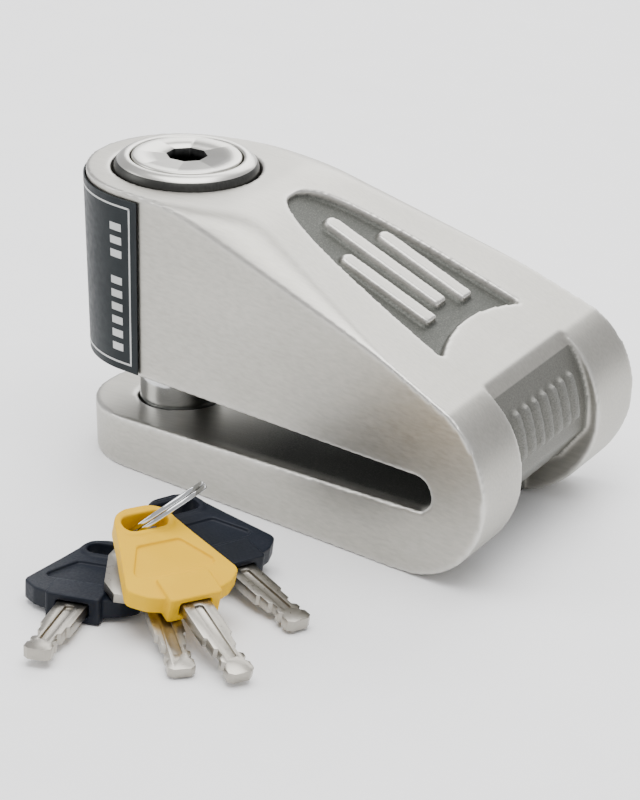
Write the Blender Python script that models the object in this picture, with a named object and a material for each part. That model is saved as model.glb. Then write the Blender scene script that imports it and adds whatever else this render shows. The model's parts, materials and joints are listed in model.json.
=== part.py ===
"""Push-down disc brake lock with its bunch of keys.

The frame has +Z up and +X towards the nose. The origin is on the locking pin's axis, in the
plane that the lock stands on. A wedge-shaped steel body has a round column at the rear, a slot
for the brake disc, and a sliding lock barrel whose pin crosses the slot.
"""

import math

import bmesh
import bpy
from mathutils import Matrix, Vector

MM = 0.001
GAP = 0.3 * MM  # clearance between pieces that touch on the real lock
DEG = math.pi / 180

# ---------------------------------------------------------------- driving dimensions: mechanism
BLADE_HALF_WIDTH = 2.35 * MM
BLADE_THICKNESS = 1.8 * MM
KEY_SLOT_SLACK = 0.45 * MM  # round the blade, in a detainer disc
KEYHOLE_LIP = 0.65 * MM  # how much wider the keyhole is than a disc's key slot
PLUG_BORE_RADIUS = 6.2 * MM
PLUG_WALL = 1.4 * MM
PLUG_FLANGE = 1.48 * MM
PLUG_FACE_THICKNESS = 3.0 * MM
BARREL_RIM_WIDTH = 2.62 * MM
BARREL_RIM_ROUND = 2.3 * MM
BARREL_PROUD = 1.96 * MM
BARREL_CLEARANCE = 0.4 * MM
CHAMBER_WALL = 2.8 * MM
DISC_COUNT = 5
DISC_THICKNESS = 1.0 * MM
SPACER_THICKNESS = 0.5 * MM
SPACER_INNER_RADIUS = 4.0 * MM
GUARD_THICKNESS = 1.4 * MM
STACK_SLACK = 1.4 * MM  # between the last disc and the chamber
SIDEBAR_RADIUS = 0.75 * MM
CAM_THICKNESS = 1.5 * MM
CAM_PIN_RADIUS = 1.1 * MM
LATCH_TRAVEL = 4.5 * MM
LATCH_THICKNESS = 2.6 * MM
LATCH_ENGAGEMENT = 1.5 * MM
LATCH_HALF_WIDTH = 2.5 * MM
LATCH_TAIL_X = -2.0 * MM
LATCH_SPRING_RADIUS = 0.8 * MM
LATCH_SPRING_WIRE = 0.2 * MM
PIN_RADIUS = 7.0 * MM
PIN_SOCKET_FLOOR = 4.3 * MM
PIN_HEAD_THICKNESS = 3.2 * MM
PIN_OVER_SLOT = 1.0 * MM  # how far the raised pin's tip clears the slot
CROSS_PIN_RADIUS = 0.8 * MM
SPRING_SPACE = 6.0 * MM
SPRING_WIRE_RADIUS = 0.5 * MM
SCREW_BELOW_TOP = 6.86 * MM
SCREW_RADIUS = 1.7 * MM
SCREW_TIP_RADIUS = 1.2 * MM
SCREW_BITE = 1.0 * MM
SEAL_ABOVE_SCREW = 3.1 * MM
SEAL_RADIUS = 0.8 * MM

# ---------------------------------------------------------------- driving dimensions: body
BODY_HEIGHT = 49.6 * MM
COLUMN_WALL = 4.1 * MM  # round the bore, at the top
COLUMN_DRAFT = 2.5 * MM  # how much narrower the column is at its foot
FLANK_TAPER = 0.176  # flank slope in plan, per side
NOSE_X = 70.2 * MM
NOSE_RADIUS = 16.2 * MM
DECK_START_X = 19.3 * MM  # where the sloping deck leaves the column's flat top
DECK_NOSE_HEIGHT = 26.44 * MM  # where the deck's line reaches NOSE_X
CREASE_START_X = 6.8 * MM
CREASE_NOSE_HEIGHT = 28.04 * MM
SHOULDER_WIDTH = 13.1 * MM  # rounded band between deck and crease, at the column
DECK_BLEND = 2.0 * MM

# ---------------------------------------------------------------- driving dimensions: disc slot
SLOT_CEILING = 17.6 * MM
SLOT_FLOOR = 9.1 * MM  # on the pin's axis
SLOT_FLOOR_SLOPE = 0.042
SLOT_SET_BACK = 10.2 * MM  # from the nose to the slot's closed end

# ---------------------------------------------------------------- driving dimensions: nose and deck
WEB_HALF_WIDTH = 14.0 * MM
WEB_RADIUS = 19.9 * MM
WEB_SET_BACK = 2.3 * MM  # from the lobes' foremost line
WEB_LOW_EDGE = 14.3 * MM
UNDERCUT_DEPTH = 12.7 * MM
UNDERCUT_HEIGHT = 5.5 * MM
UNDERCUT_KNEE_DEPTH = 6.7 * MM
UNDERCUT_KNEE_HEIGHT = 8.5 * MM
RIB_COUNT = 7
RIB_PITCH = 3.2 * MM
RIB_WIDTH = 1.2 * MM
RIB_PROUD = 0.9 * MM
RIB_MARGIN_LOW = 3.2 * MM  # above the web's low edge
RIB_MARGIN_HIGH = 1.44 * MM  # below the deck at the nose
POCKET_MARGIN = 1.0 * MM  # from the deck's start to the pocket's tip
POCKET_SET_BACK = 15.0 * MM
POCKET_HALF_WIDTH = 13.9 * MM
POCKET_END_BOW = 3.2 * MM
POCKET_DEPTH = 1.3 * MM
BAR_WIDTH = 3.2 * MM
BAR_SPACING = 6.2 * MM
LONG_BAR_MARGINS = (6.2 * MM, 7.2 * MM)  # from the pocket's tip and from its end
SIDE_BAR_MARGINS = (12.7 * MM, 5.7 * MM)

# ---------------------------------------------------------------- driving dimensions: label and keys
LABEL_THICKNESS = 0.3 * MM
LABEL_MARGIN_LOW = 0.5 * MM  # above the slot
LABEL_MARGIN_HIGH = 1.2 * MM  # below the column's top
LABEL_HALF_ANGLE = 88 * DEG
BOW_LENGTH = 22.0 * MM
BOW_HALF_WIDTH = 9.5 * MM
BOW_THICKNESS = 3.0 * MM
COLLAR_PROUD = 0.7 * MM  # how far the collar stands out of each side of the bow
COLLAR_LENGTH = 5.5 * MM
COLLAR_HALF_WIDTH = 4.4 * MM
RING_HOLE_MARGIN = 3.6 * MM  # from the bow's end to the middle of its ring hole
RING_HOLE_LENGTH = 7.6 * MM
RING_HOLE_WIDTH = 3.6 * MM
BLADE_LENGTH = 16.0 * MM
TANG_LENGTH = 6.0 * MM
RING_RADIUS = 7.4 * MM
RING_WIRE = 0.8 * MM
RING_RISE = 5.85 * MM  # from the front key's blade root up to the ring's middle

# ---------------------------------------------------------------- worked out: nested radii
KEY_SLOT_RADIUS = BLADE_HALF_WIDTH + KEY_SLOT_SLACK
KEYHOLE_RADIUS = KEY_SLOT_RADIUS + KEYHOLE_LIP
PLUG_CORE_RADIUS = PLUG_BORE_RADIUS + PLUG_WALL
PLUG_RADIUS = PLUG_CORE_RADIUS + PLUG_FLANGE
BARREL_RADIUS = PLUG_RADIUS + GAP + BARREL_RIM_WIDTH
CHAMBER_RADIUS = BARREL_RADIUS - CHAMBER_WALL
BORE_RADIUS = BARREL_RADIUS + BARREL_CLEARANCE
COLUMN_TOP_RADIUS = BORE_RADIUS + COLUMN_WALL
COLUMN_FOOT_RADIUS = COLUMN_TOP_RADIUS - COLUMN_DRAFT
SIDEBAR_Y = PLUG_BORE_RADIUS + 0.6 * MM

# ---------------------------------------------------------------- worked out: heights
DISC_PITCH = DISC_THICKNESS + SPACER_THICKNESS + 2 * GAP
SIDEBAR_LENGTH = (DISC_COUNT - 1) * DISC_PITCH + DISC_THICKNESS
BARREL_TOP = BODY_HEIGHT + BARREL_PROUD
FACE_BOTTOM = BARREL_TOP - PLUG_FACE_THICKNESS
FLANGE_BOTTOM = FACE_BOTTOM - GAP
STACK_TOP = FACE_BOTTOM - GAP - GUARD_THICKNESS - GAP
CHAMBER_TOP = STACK_TOP - SIDEBAR_LENGTH - STACK_SLACK
CAM_TOP = CHAMBER_TOP - GAP
CAM_LOW = CAM_TOP - CAM_THICKNESS
LATCH_TOP = CAM_LOW - GAP
LATCH_LOW = LATCH_TOP - LATCH_THICKNESS
PIN_HEAD_TOP = LATCH_LOW - GAP
BARREL_BOTTOM = PIN_HEAD_TOP - PIN_HEAD_THICKNESS
BORE_FLOOR = BARREL_BOTTOM - SPRING_SPACE
PIN_TIP = PIN_SOCKET_FLOOR + GAP
PIN_TRAVEL = SLOT_CEILING + PIN_OVER_SLOT - PIN_TIP
CROSS_PIN_HEIGHT = BARREL_BOTTOM + PIN_HEAD_THICKNESS / 2
SCREW_HEIGHT = BARREL_TOP - SCREW_BELOW_TOP
SEAL_HEIGHT = SCREW_HEIGHT + SEAL_ABOVE_SCREW
LABEL_LOW = SLOT_CEILING + LABEL_MARGIN_LOW
LABEL_HIGH = BODY_HEIGHT - LABEL_MARGIN_HIGH

# ---------------------------------------------------------------- worked out: deck, nose and keys
DECK_SLOPE = (BODY_HEIGHT - DECK_NOSE_HEIGHT) / (NOSE_X - DECK_START_X)
CREASE_SLOPE = (BODY_HEIGHT - CREASE_NOSE_HEIGHT) / (NOSE_X - CREASE_START_X)
SHOULDER_FADE_X = (DECK_SLOPE * DECK_START_X - CREASE_SLOPE * CREASE_START_X) / (
    DECK_SLOPE - CREASE_SLOPE
)
NOSE_CENTRE = Vector((NOSE_X - NOSE_RADIUS, NOSE_RADIUS))  # in X and Z
SLOT_END_X = NOSE_X - SLOT_SET_BACK
POCKET_TIP_X = DECK_START_X + POCKET_MARGIN
POCKET_END_X = NOSE_X - POCKET_SET_BACK
RIB_LOW = WEB_LOW_EDGE + RIB_MARGIN_LOW
RIB_HIGH = DECK_NOSE_HEIGHT - RIB_MARGIN_HIGH
COLLAR_THICKNESS = BOW_THICKNESS + 2 * COLLAR_PROUD
RING_HOLE_X = RING_HOLE_MARGIN - BOW_LENGTH


# ---------------------------------------------------------------- modelling helpers
def finish(name, colour, metallic, roughness):
    """A plain Principled material."""
    made = bpy.data.materials.new(name)
    made.use_nodes = True
    shader = made.node_tree.nodes["Principled BSDF"]
    shader.inputs["Base Color"].default_value = (*colour, 1.0)
    shader.inputs["Metallic"].default_value = metallic
    shader.inputs["Roughness"].default_value = roughness
    return made


def place(name, bm, material=None, matrix=None, parent=None, smooth=True):
    """Turns a bmesh into a named object, moved by matrix in its mesh."""
    if matrix is not None:
        bmesh.ops.transform(bm, matrix=matrix, verts=bm.verts)
    bmesh.ops.remove_doubles(bm, verts=bm.verts, dist=1e-7)
    bmesh.ops.recalc_face_normals(bm, faces=bm.faces)
    mesh = bpy.data.meshes.new(name)
    bm.to_mesh(mesh)
    bm.free()
    if smooth:
        mesh.shade_smooth()
        mesh.set_sharp_from_angle(angle=35 * DEG)
    if material:
        mesh.materials.append(material)
    made = bpy.data.objects.new(name, mesh)
    bpy.context.collection.objects.link(made)
    if parent:
        made.parent = parent
        made.matrix_parent_inverse = parent.matrix_world.inverted()
    return made


def guide(name, bm, matrix=None):
    """A cutter or a tool shape, which isn't a piece of the lock."""
    made = place(name, bm, matrix=matrix, smooth=False)
    made.hide_render = True
    made.display_type = "WIRE"
    return made


def combine(target, tool, operation="DIFFERENCE"):
    """Adds a Boolean modifier to target."""
    step = target.modifiers.new(f"{operation.lower()}_{tool.name}", "BOOLEAN")
    step.operation = operation
    step.solver = "EXACT"
    step.object = tool


def prism(outline, low, high, turn=None):
    """An outline of X and Y points, extruded from low to high along Z, then turned."""
    bm = bmesh.new()
    face = bm.faces.new([bm.verts.new((x, y, low)) for x, y in outline])
    raised = bmesh.ops.extrude_face_region(bm, geom=[face])["geom"]
    bmesh.ops.translate(
        bm,
        vec=(0, 0, high - low),
        verts=[v for v in raised if isinstance(v, bmesh.types.BMVert)],
    )
    if turn is not None:
        bmesh.ops.transform(bm, matrix=turn, verts=bm.verts)
    return bm


def side_prism(outline, half_width):
    """An outline of X and Z points, extruded across the lock."""
    upright = Matrix.Rotation(math.pi / 2, 4, "X")
    return prism(outline, -half_width, half_width, upright)


def block(low, high):
    """A box between two corners."""
    outline = [(low[0], low[1]), (high[0], low[1]), (high[0], high[1]), (low[0], high[1])]
    return prism(outline, low[2], high[2])


def turned(profile, segments, closed=True):
    """Spins a profile of radius and height points round Z; an open one starts and ends at r = 0."""
    bm = bmesh.new()
    points = [bm.verts.new((r, 0, z)) for r, z in profile]
    edges = [bm.edges.new(pair) for pair in zip(points, points[1:])]
    if closed:
        edges.append(bm.edges.new((points[-1], points[0])))
    bmesh.ops.spin(
        bm,
        geom=points + edges,
        cent=(0, 0, 0),
        axis=(0, 0, 1),
        angle=2 * math.pi,
        steps=segments,
        use_merge=True,
    )
    bmesh.ops.remove_doubles(bm, verts=bm.verts, dist=1e-6)
    return bm


def rod(radius, low, high, segments=20):
    """A plain round rod or hole along Z."""
    return turned([(0, low), (radius, low), (radius, high), (0, high)], segments, closed=False)


def washer(inner, outer, low, high, segments=28):
    """A flat ring."""
    return turned([(inner, low), (outer, low), (outer, high), (inner, high)], segments)


def arc(centre, radius, start, end, steps):
    """Points round an arc, angles in radians from the first axis."""
    turn = [start + (end - start) * n / steps for n in range(steps + 1)]
    return [(centre[0] + radius * math.cos(a), centre[1] + radius * math.sin(a)) for a in turn]


def rounded(corners, steps=3):
    """An outline from (x, y, corner radius) corners."""
    outline = []
    for n, (x, y, radius) in enumerate(corners):
        here = Vector((x, y))
        before = (Vector(corners[n - 1][:2]) - here).normalized()
        after = (Vector(corners[(n + 1) % len(corners)][:2]) - here).normalized()
        half = before.angle(after) / 2
        middle = here + (before + after).normalized() * radius / math.sin(half)
        first = here + before * radius / math.tan(half) - middle
        last = here + after * radius / math.tan(half) - middle
        if radius == 0:
            outline.append((x, y))
            continue
        sweep = first.angle_signed(last)
        for k in range(steps + 1):
            point = middle + Matrix.Rotation(-sweep * k / steps, 2) @ first
            outline.append((point.x, point.y))
    return outline


# ---------------------------------------------------------------- shape rules of the body
def column_radius(z):
    """The column's drafted radius at a height."""
    share = z / BODY_HEIGHT
    return COLUMN_FOOT_RADIUS + (COLUMN_TOP_RADIUS - COLUMN_FOOT_RADIUS) * share


def flank(x, z):
    """The flank's distance from the middle plane."""
    return column_radius(z) * math.hypot(1, FLANK_TAPER) + FLANK_TAPER * x


def deck_line(x):
    """The deck's height on the middle plane, before it blends into the flat top."""
    return BODY_HEIGHT - DECK_SLOPE * (x - DECK_START_X)


def deck_height(x, y):
    """The height of the body's upper surface."""
    fade = (SHOULDER_FADE_X - x) / SHOULDER_FADE_X
    drop = max(0.0, deck_line(x) - crease_line(x))
    inward = flank(x, BODY_HEIGHT) - abs(y)
    width = max(SHOULDER_WIDTH * fade, 0.01 * MM)
    raw = deck_line(x) - drop * max(0.0, 1 - inward / width) ** 2
    overlap = max(DECK_BLEND - abs(raw - BODY_HEIGHT), 0) / DECK_BLEND
    return min(raw, BODY_HEIGHT) - overlap**2 * DECK_BLEND / 4


def crease_line(x):
    """The height of the crease between flank and shoulder."""
    return BODY_HEIGHT - CREASE_SLOPE * (x - CREASE_START_X)


def plan_outline(z):
    """The body's plan at a height: a round rear and two flanks."""
    lean = math.atan(FLANK_TAPER)
    rear = arc((0, 0), column_radius(z), math.pi / 2 + lean, 3 * math.pi / 2 - lean, 28)
    reach = NOSE_X + 1 * MM
    return rear + [(reach, -flank(reach, z)), (reach, flank(reach, z))]


def body_blank(top):
    """The drafted wedge, before its deck and slot are cut."""
    bm = bmesh.new()
    loops = []
    for z in (0.0, top):
        loops.append([bm.verts.new((x, y, z)) for x, y in plan_outline(z)])
    for low, high in zip(loops, loops[1:]):
        for n in range(len(low)):
            after = (n + 1) % len(low)
            bm.faces.new((low[n], low[after], high[after], high[n]))
    bm.faces.new(loops[0])
    bm.faces.new(loops[-1])
    return bm


def deck_cutter(columns=26, rows=18):
    """Everything above the upper surface: a grid bent to it, thickened upwards."""
    rear_x, front_x, half_width = -22 * MM, NOSE_X + 6 * MM, 34 * MM
    bm = bmesh.new()
    bmesh.ops.create_grid(bm, x_segments=columns, y_segments=rows, size=0.5)
    for vert in bm.verts:
        x = rear_x + (front_x - rear_x) * (vert.co.x + 0.5)
        y = 2 * half_width * vert.co.y
        vert.co = (x, y, deck_height(x, y))
    raised = bmesh.ops.extrude_face_region(bm, geom=bm.faces[:])["geom"]
    for vert in raised:
        if isinstance(vert, bmesh.types.BMVert):
            vert.co.z = BODY_HEIGHT + 12 * MM
    return bm


def nose_cutter():
    """What lies in front of the nose's round profile."""
    over = NOSE_X + 15 * MM
    profile = arc(NOSE_CENTRE, NOSE_RADIUS, 75 * DEG, -90 * DEG, 18)
    return side_prism(
        profile
        + [(NOSE_CENTRE.x, -5 * MM), (over, -5 * MM), (over, BODY_HEIGHT + 9 * MM)]
        + [(profile[0][0], BODY_HEIGHT + 9 * MM)],
        40 * MM,
    )


def web_x(z, proud=0.0):
    """How far forward the web's face is at a height."""
    centre_x = NOSE_X - WEB_SET_BACK - WEB_RADIUS
    radius = WEB_RADIUS + proud
    return centre_x + math.sqrt(radius**2 - (z - NOSE_CENTRE.y) ** 2)


def web_cutter():
    """The recess between the two nose lobes, with the undercut beneath the web."""
    steps = 8
    top = NOSE_CENTRE.y + 0.8 * WEB_RADIUS
    face = [(web_x(top), BODY_HEIGHT)]
    for n in range(steps + 1):
        z = top + (WEB_LOW_EDGE - top) * n / steps
        face.append((web_x(z), z))
    front = NOSE_X + 9 * MM
    below = -3 * MM
    under = [
        (NOSE_X - UNDERCUT_KNEE_DEPTH, UNDERCUT_KNEE_HEIGHT),
        (NOSE_X - UNDERCUT_DEPTH, UNDERCUT_HEIGHT),
        (NOSE_X - UNDERCUT_DEPTH, below),
    ]
    return side_prism(face + under + [(front, below), (front, BODY_HEIGHT)], WEB_HALF_WIDTH)


def slot_floor(x):
    """The height of the disc slot's floor."""
    return SLOT_FLOOR + SLOT_FLOOR_SLOPE * x


def slot_cutter():
    """The disc slot, open at the rear and at both flanks."""
    rear = -30 * MM
    radius = (SLOT_CEILING - slot_floor(SLOT_END_X)) / 2
    middle = (SLOT_END_X - radius, SLOT_CEILING - radius)
    round_end = arc(middle, radius, math.pi / 2, -math.pi / 2, 8)
    return side_prism([(rear, SLOT_CEILING)] + round_end + [(rear, slot_floor(rear))], 45 * MM)


def pocket_cutter():
    """The tongue-shaped recess in the deck: its outline, its seat and the slope's stretch."""
    length = POCKET_END_X - POCKET_TIP_X
    stations = [0.0, 0.006, 0.03, 0.09, 0.2, 0.36, 0.56, 0.78, 1.0]
    right = [(length * s, POCKET_HALF_WIDTH * s**0.38) for s in stations]
    end = []
    for n in range(1, 10):
        y = POCKET_HALF_WIDTH * (1 - n / 5)
        end.append((length - POCKET_END_BOW * (1 - (y / POCKET_HALF_WIDTH) ** 2), y))
    left = [(x, -y) for x, y in reversed(right[1:])]
    tilt = math.atan(DECK_SLOPE)
    stretch = 1 / math.cos(tilt)
    outline = [(x * stretch, y) for x, y in right + end + left]
    seat = Matrix.Translation((POCKET_TIP_X, 0, deck_line(POCKET_TIP_X)))
    return outline, seat @ Matrix.Rotation(tilt, 4, "Y"), stretch


def deck_bar(start, end, y, matrix, stretch):
    """A raised straight bar in the pocket, level with the deck."""
    low, high = (start - POCKET_TIP_X) * stretch, (end - POCKET_TIP_X) * stretch
    half = BAR_WIDTH / 2
    corners = [
        (low, y - half, 1.4 * MM),
        (high, y - half, 0.5 * MM),
        (high, y + half, 0.5 * MM),
        (low, y + half, 1.4 * MM),
    ]
    return prism(rounded(corners), -POCKET_DEPTH - 1 * MM, -0.1 * MM, matrix)


def lock_body(material):
    """The one-piece steel body with every hole and recess."""
    body = place("lock_body", body_blank(BODY_HEIGHT + 2 * MM), material)
    for name, bm in (
        ("deck", deck_cutter()),
        ("nose", nose_cutter()),
        ("web", web_cutter()),
        ("slot", slot_cutter()),
    ):
        combine(body, guide(f"cut_{name}", bm))
    outline, seat, stretch = pocket_cutter()
    combine(body, guide("cut_pocket", prism(outline, -POCKET_DEPTH, 6 * MM, seat)))
    for n, side in enumerate((0, 1, -1)):
        after_tip, before_end = SIDE_BAR_MARGINS if side else LONG_BAR_MARGINS
        start, end = POCKET_TIP_X + after_tip, POCKET_END_X - before_end
        bar = deck_bar(start, end, side * BAR_SPACING, seat, stretch)
        combine(body, guide(f"deck_bar_{n}", bar), "UNION")
    for n in range(RIB_COUNT):
        y = (n - (RIB_COUNT - 1) / 2) * RIB_PITCH
        profile = [
            (web_x(RIB_LOW) - 2 * MM, RIB_LOW),
            (web_x(RIB_LOW, RIB_PROUD), RIB_LOW),
            (web_x((RIB_LOW + RIB_HIGH) / 2, RIB_PROUD), (RIB_LOW + RIB_HIGH) / 2),
            (web_x(RIB_HIGH, RIB_PROUD), RIB_HIGH),
            (web_x(RIB_HIGH) - 2 * MM, RIB_HIGH),
        ]
        across = Matrix.Translation((0, y, 0))
        combine(body, guide(f"web_rib_{n}", side_prism(profile, RIB_WIDTH / 2), across), "UNION")
    for name, bm in (
        ("bore", rod(BORE_RADIUS, BORE_FLOOR, BODY_HEIGHT + 9 * MM, 40)),
        ("pin_way", rod(PIN_RADIUS + GAP, SLOT_CEILING - 2 * MM, BORE_FLOOR + 1 * MM, 32)),
        ("pin_socket", rod(PIN_RADIUS + GAP, PIN_SOCKET_FLOOR, SLOT_FLOOR + 4 * MM, 32)),
        ("keeper", keeper_cutter()),
    ):
        combine(body, guide(f"cut_{name}", bm))
    rearward = Matrix.Translation((0, 0, SCREW_HEIGHT)) @ Matrix.Rotation(-math.pi / 2, 4, "Y")
    screw_hole = rod(SCREW_RADIUS + GAP, BORE_RADIUS - 1 * MM, COLUMN_TOP_RADIUS + 3 * MM)
    off_bore_edge = Matrix.Rotation(9 * DEG, 4, "Z")  # keeps the hole's corners off the bore's
    combine(body, guide("cut_screw_hole", screw_hole, rearward @ off_bore_edge))
    return body


def keeper_cutter():
    """The tapered groove in the bore's wall that holds the latch while the pin is down."""
    deep = BARREL_RADIUS + LATCH_ENGAGEMENT + 0.4 * MM
    shallow = BORE_RADIUS - 0.2 * MM
    rise = PIN_TRAVEL * (deep - shallow) / LATCH_TRAVEL
    low, high = LATCH_LOW - GAP, LATCH_TOP + 0.4 * MM
    inside = BORE_RADIUS - 2 * MM
    profile = [(inside, low), (deep, low), (deep, high), (shallow, high + rise), (inside, high + rise)]
    return side_prism(profile, LATCH_HALF_WIDTH + GAP)


# ---------------------------------------------------------------- sliding barrel and what it holds
def barrel(material, parent):
    """The sliding barrel, seen as the polished ring round the plug."""
    rim = arc(
        (BARREL_RADIUS - BARREL_RIM_ROUND, BARREL_TOP - BARREL_RIM_ROUND),
        BARREL_RIM_ROUND,
        0,
        math.pi / 2,
        5,
    )
    groove = 2 * SEAL_RADIUS + 0.2 * MM
    seat = BARREL_RADIUS - groove + 0.1 * MM
    profile = [
        (CHAMBER_RADIUS, BARREL_BOTTOM),
        (BARREL_RADIUS, BARREL_BOTTOM),
        (BARREL_RADIUS, SEAL_HEIGHT - groove / 2),
        (seat, SEAL_HEIGHT - groove / 2),
        (seat, SEAL_HEIGHT + groove / 2),
        (BARREL_RADIUS, SEAL_HEIGHT + groove / 2),
        *rim,
        (PLUG_RADIUS + GAP, BARREL_TOP),
        (PLUG_RADIUS + GAP, FLANGE_BOTTOM - GAP),
        (PLUG_CORE_RADIUS + GAP, FLANGE_BOTTOM - GAP),
        (PLUG_CORE_RADIUS + GAP, CHAMBER_TOP),
        (CHAMBER_RADIUS, CHAMBER_TOP),
    ]
    made = place("lock_barrel", turned(profile, 40), material, parent=parent)
    tip = LATCH_HALF_WIDTH + GAP
    way = block((1 * MM, -tip, LATCH_LOW - GAP / 2), (BARREL_RADIUS + 2 * MM, tip, LATCH_TOP + GAP / 2))
    combine(made, guide("cut_latch_way", way))
    reach = SCREW_TIP_RADIUS + GAP
    top = SCREW_HEIGHT + reach
    bottom = SCREW_HEIGHT - PIN_TRAVEL - reach
    inner = BARREL_RADIUS - SCREW_BITE - GAP
    groove_box = block((-BARREL_RADIUS - 1 * MM, -reach, bottom), (-inner, reach, top))
    combine(made, guide("cut_guide_groove", groove_box))
    cross = rod(CROSS_PIN_RADIUS + GAP, -BARREL_RADIUS - 1 * MM, BARREL_RADIUS + 1 * MM, 12)
    combine(made, guide("cut_cross_hole", cross, across_y(CROSS_PIN_HEIGHT)))
    return made


def across_y(height):
    """Lays a Z rod along Y at a height on the lock's axis."""
    return Matrix.Translation((0, 0, height)) @ Matrix.Rotation(math.pi / 2, 4, "X")


def locking_pin(material, parent):
    """The hardened pin that crosses the slot, with its head in the barrel."""
    chamfer = 1.2 * MM
    tip = PIN_TIP
    head = CHAMBER_RADIUS - GAP
    profile = [
        (0, tip),
        (PIN_RADIUS - chamfer, tip),
        (PIN_RADIUS, tip + chamfer),
        (PIN_RADIUS, BARREL_BOTTOM),
        (head, BARREL_BOTTOM),
        (head, PIN_HEAD_TOP),
        (0, PIN_HEAD_TOP),
    ]
    made = place("locking_pin", turned(profile, 36, closed=False), material, parent=parent)
    hole = rod(CROSS_PIN_RADIUS + GAP, -head - 1 * MM, head + 1 * MM, 12)
    combine(made, guide("cut_pin_cross_hole", hole, across_y(CROSS_PIN_HEIGHT)))
    return made


def plug(material, parent):
    """The turning plug: a face with a keyhole over a slotted core."""
    profile = [
        (PLUG_BORE_RADIUS, CHAMBER_TOP),
        (PLUG_CORE_RADIUS, CHAMBER_TOP),
        (PLUG_CORE_RADIUS, FLANGE_BOTTOM),
        (PLUG_RADIUS, FLANGE_BOTTOM),
        (PLUG_RADIUS, BARREL_TOP - 0.3 * MM),
        (PLUG_RADIUS - 0.3 * MM, BARREL_TOP),
        (0, BARREL_TOP),
    ]
    under = [(0, FACE_BOTTOM), (PLUG_BORE_RADIUS, FACE_BOTTOM)]
    made = place("plug", turned([under[0], under[1], *profile], 36, closed=False), material, parent=parent)
    eighth = math.pi / 8
    octagon = arc((0, 0), KEYHOLE_RADIUS, eighth, eighth + 7 * math.pi / 4, 7)
    keyhole = prism(octagon, FACE_BOTTOM - 1 * MM, BARREL_TOP + 1 * MM)
    combine(made, guide("cut_keyhole", keyhole))
    slot = SIDEBAR_RADIUS + GAP
    low = STACK_TOP - SIDEBAR_LENGTH - GAP
    side_slot = block((-slot, PLUG_BORE_RADIUS - 1 * MM, low), (slot, PLUG_RADIUS, STACK_TOP + GAP))
    combine(made, guide("cut_sidebar_slot", side_slot))
    return made


def key_slot_outline(turn):
    """The half-moon key slot of a detainer disc, turned about the axis."""
    flat = -0.4 * MM
    start = math.asin(flat / KEY_SLOT_RADIUS)
    half_moon = arc((0, 0), KEY_SLOT_RADIUS, start, math.pi - start, 8)
    spin = Matrix.Rotation(turn, 2)
    return [tuple(spin @ Vector(point)) for point in half_moon]


def slotted_disc(name, low, thickness, turn, material, parent, notched=True):
    """One disc of the stack, with a key slot and a notch for the sidebar."""
    outer = PLUG_BORE_RADIUS - GAP
    made = place(name, rod(outer, low, low + thickness, 28), material, parent=parent)
    over = 1 * MM
    slot = prism(key_slot_outline(turn), low - over, low + thickness + over)
    combine(made, guide(f"cut_{name}_slot", slot))
    if notched:
        notch = rod(SIDEBAR_RADIUS + GAP, low - over, low + thickness + over, 12)
        where = Matrix.Translation((0, SIDEBAR_Y, 0))
        combine(made, guide(f"cut_{name}_notch", notch, where))
    return made


def disc_stack(steel, brass, parent):
    """Anti-drill guard, detainer discs and the spacers between them."""
    made = [slotted_disc("anti_drill_disc", STACK_TOP + GAP, GUARD_THICKNESS, 0, steel, parent, False)]
    for n in range(DISC_COUNT):
        low = STACK_TOP - n * DISC_PITCH - DISC_THICKNESS
        turn = (n % 3 - 1) * 18 * DEG
        made.append(
            slotted_disc(f"detainer_disc_{n + 1}", low, DISC_THICKNESS, turn, brass, parent)
        )
        if n < DISC_COUNT - 1:
            low -= GAP + SPACER_THICKNESS
            outer = SIDEBAR_Y - SIDEBAR_RADIUS - GAP
            ring = washer(SPACER_INNER_RADIUS, outer, low, low + SPACER_THICKNESS)
            made.append(place(f"disc_spacer_{n + 1}", ring, steel, parent=parent))
    return made


def sidebar(material, parent):
    """The bar that drops into the discs' notches."""
    bar = rod(SIDEBAR_RADIUS, STACK_TOP - SIDEBAR_LENGTH, STACK_TOP, 12)
    where = Matrix.Translation((0, SIDEBAR_Y, 0))
    return place("sidebar", bar, material, where, parent)


def drive_cam(material, parent):
    """The plug's end piece, with an eccentric pin that draws the latch."""
    made = place("drive_cam", rod(CHAMBER_RADIUS - 2 * GAP, CAM_LOW, CAM_TOP, 28), material, parent=parent)
    pin = rod(CAM_PIN_RADIUS, LATCH_LOW + GAP, CAM_LOW + 0.5 * MM, 12)
    combine(made, guide("cam_drive_pin", pin, Matrix.Translation((LATCH_TRAVEL, 0, 0))), "UNION")
    return made


def latch_bolt(material, parent):
    """The sliding latch: a slotted tail and a nose that reaches into the body's groove."""
    tip = BARREL_RADIUS + LATCH_ENGAGEMENT
    tail_half = 4.6 * MM
    tail_front = CHAMBER_RADIUS - 1.7 * MM
    slack = 0.3 * LATCH_TRAVEL * (math.sqrt(2) - 1)
    rear_wall = LATCH_TRAVEL - CAM_PIN_RADIUS - GAP
    front_wall = LATCH_TRAVEL + CAM_PIN_RADIUS + GAP + slack + 0.4 * MM
    outline = [
        (LATCH_TAIL_X, -tail_half),
        (rear_wall, -tail_half),
        (rear_wall, CAM_PIN_RADIUS + GAP),
        (front_wall, CAM_PIN_RADIUS + GAP),
        (front_wall, -tail_half),
        (tail_front, -tail_half),
        (tail_front, -LATCH_HALF_WIDTH),
        (tip, -LATCH_HALF_WIDTH),
        (tip, LATCH_HALF_WIDTH),
        (tail_front, LATCH_HALF_WIDTH),
        (tail_front, tail_half),
        (LATCH_TAIL_X, tail_half),
    ]
    return place("latch_bolt", prism(outline, LATCH_LOW, LATCH_TOP), material, parent=parent, smooth=False)


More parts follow.
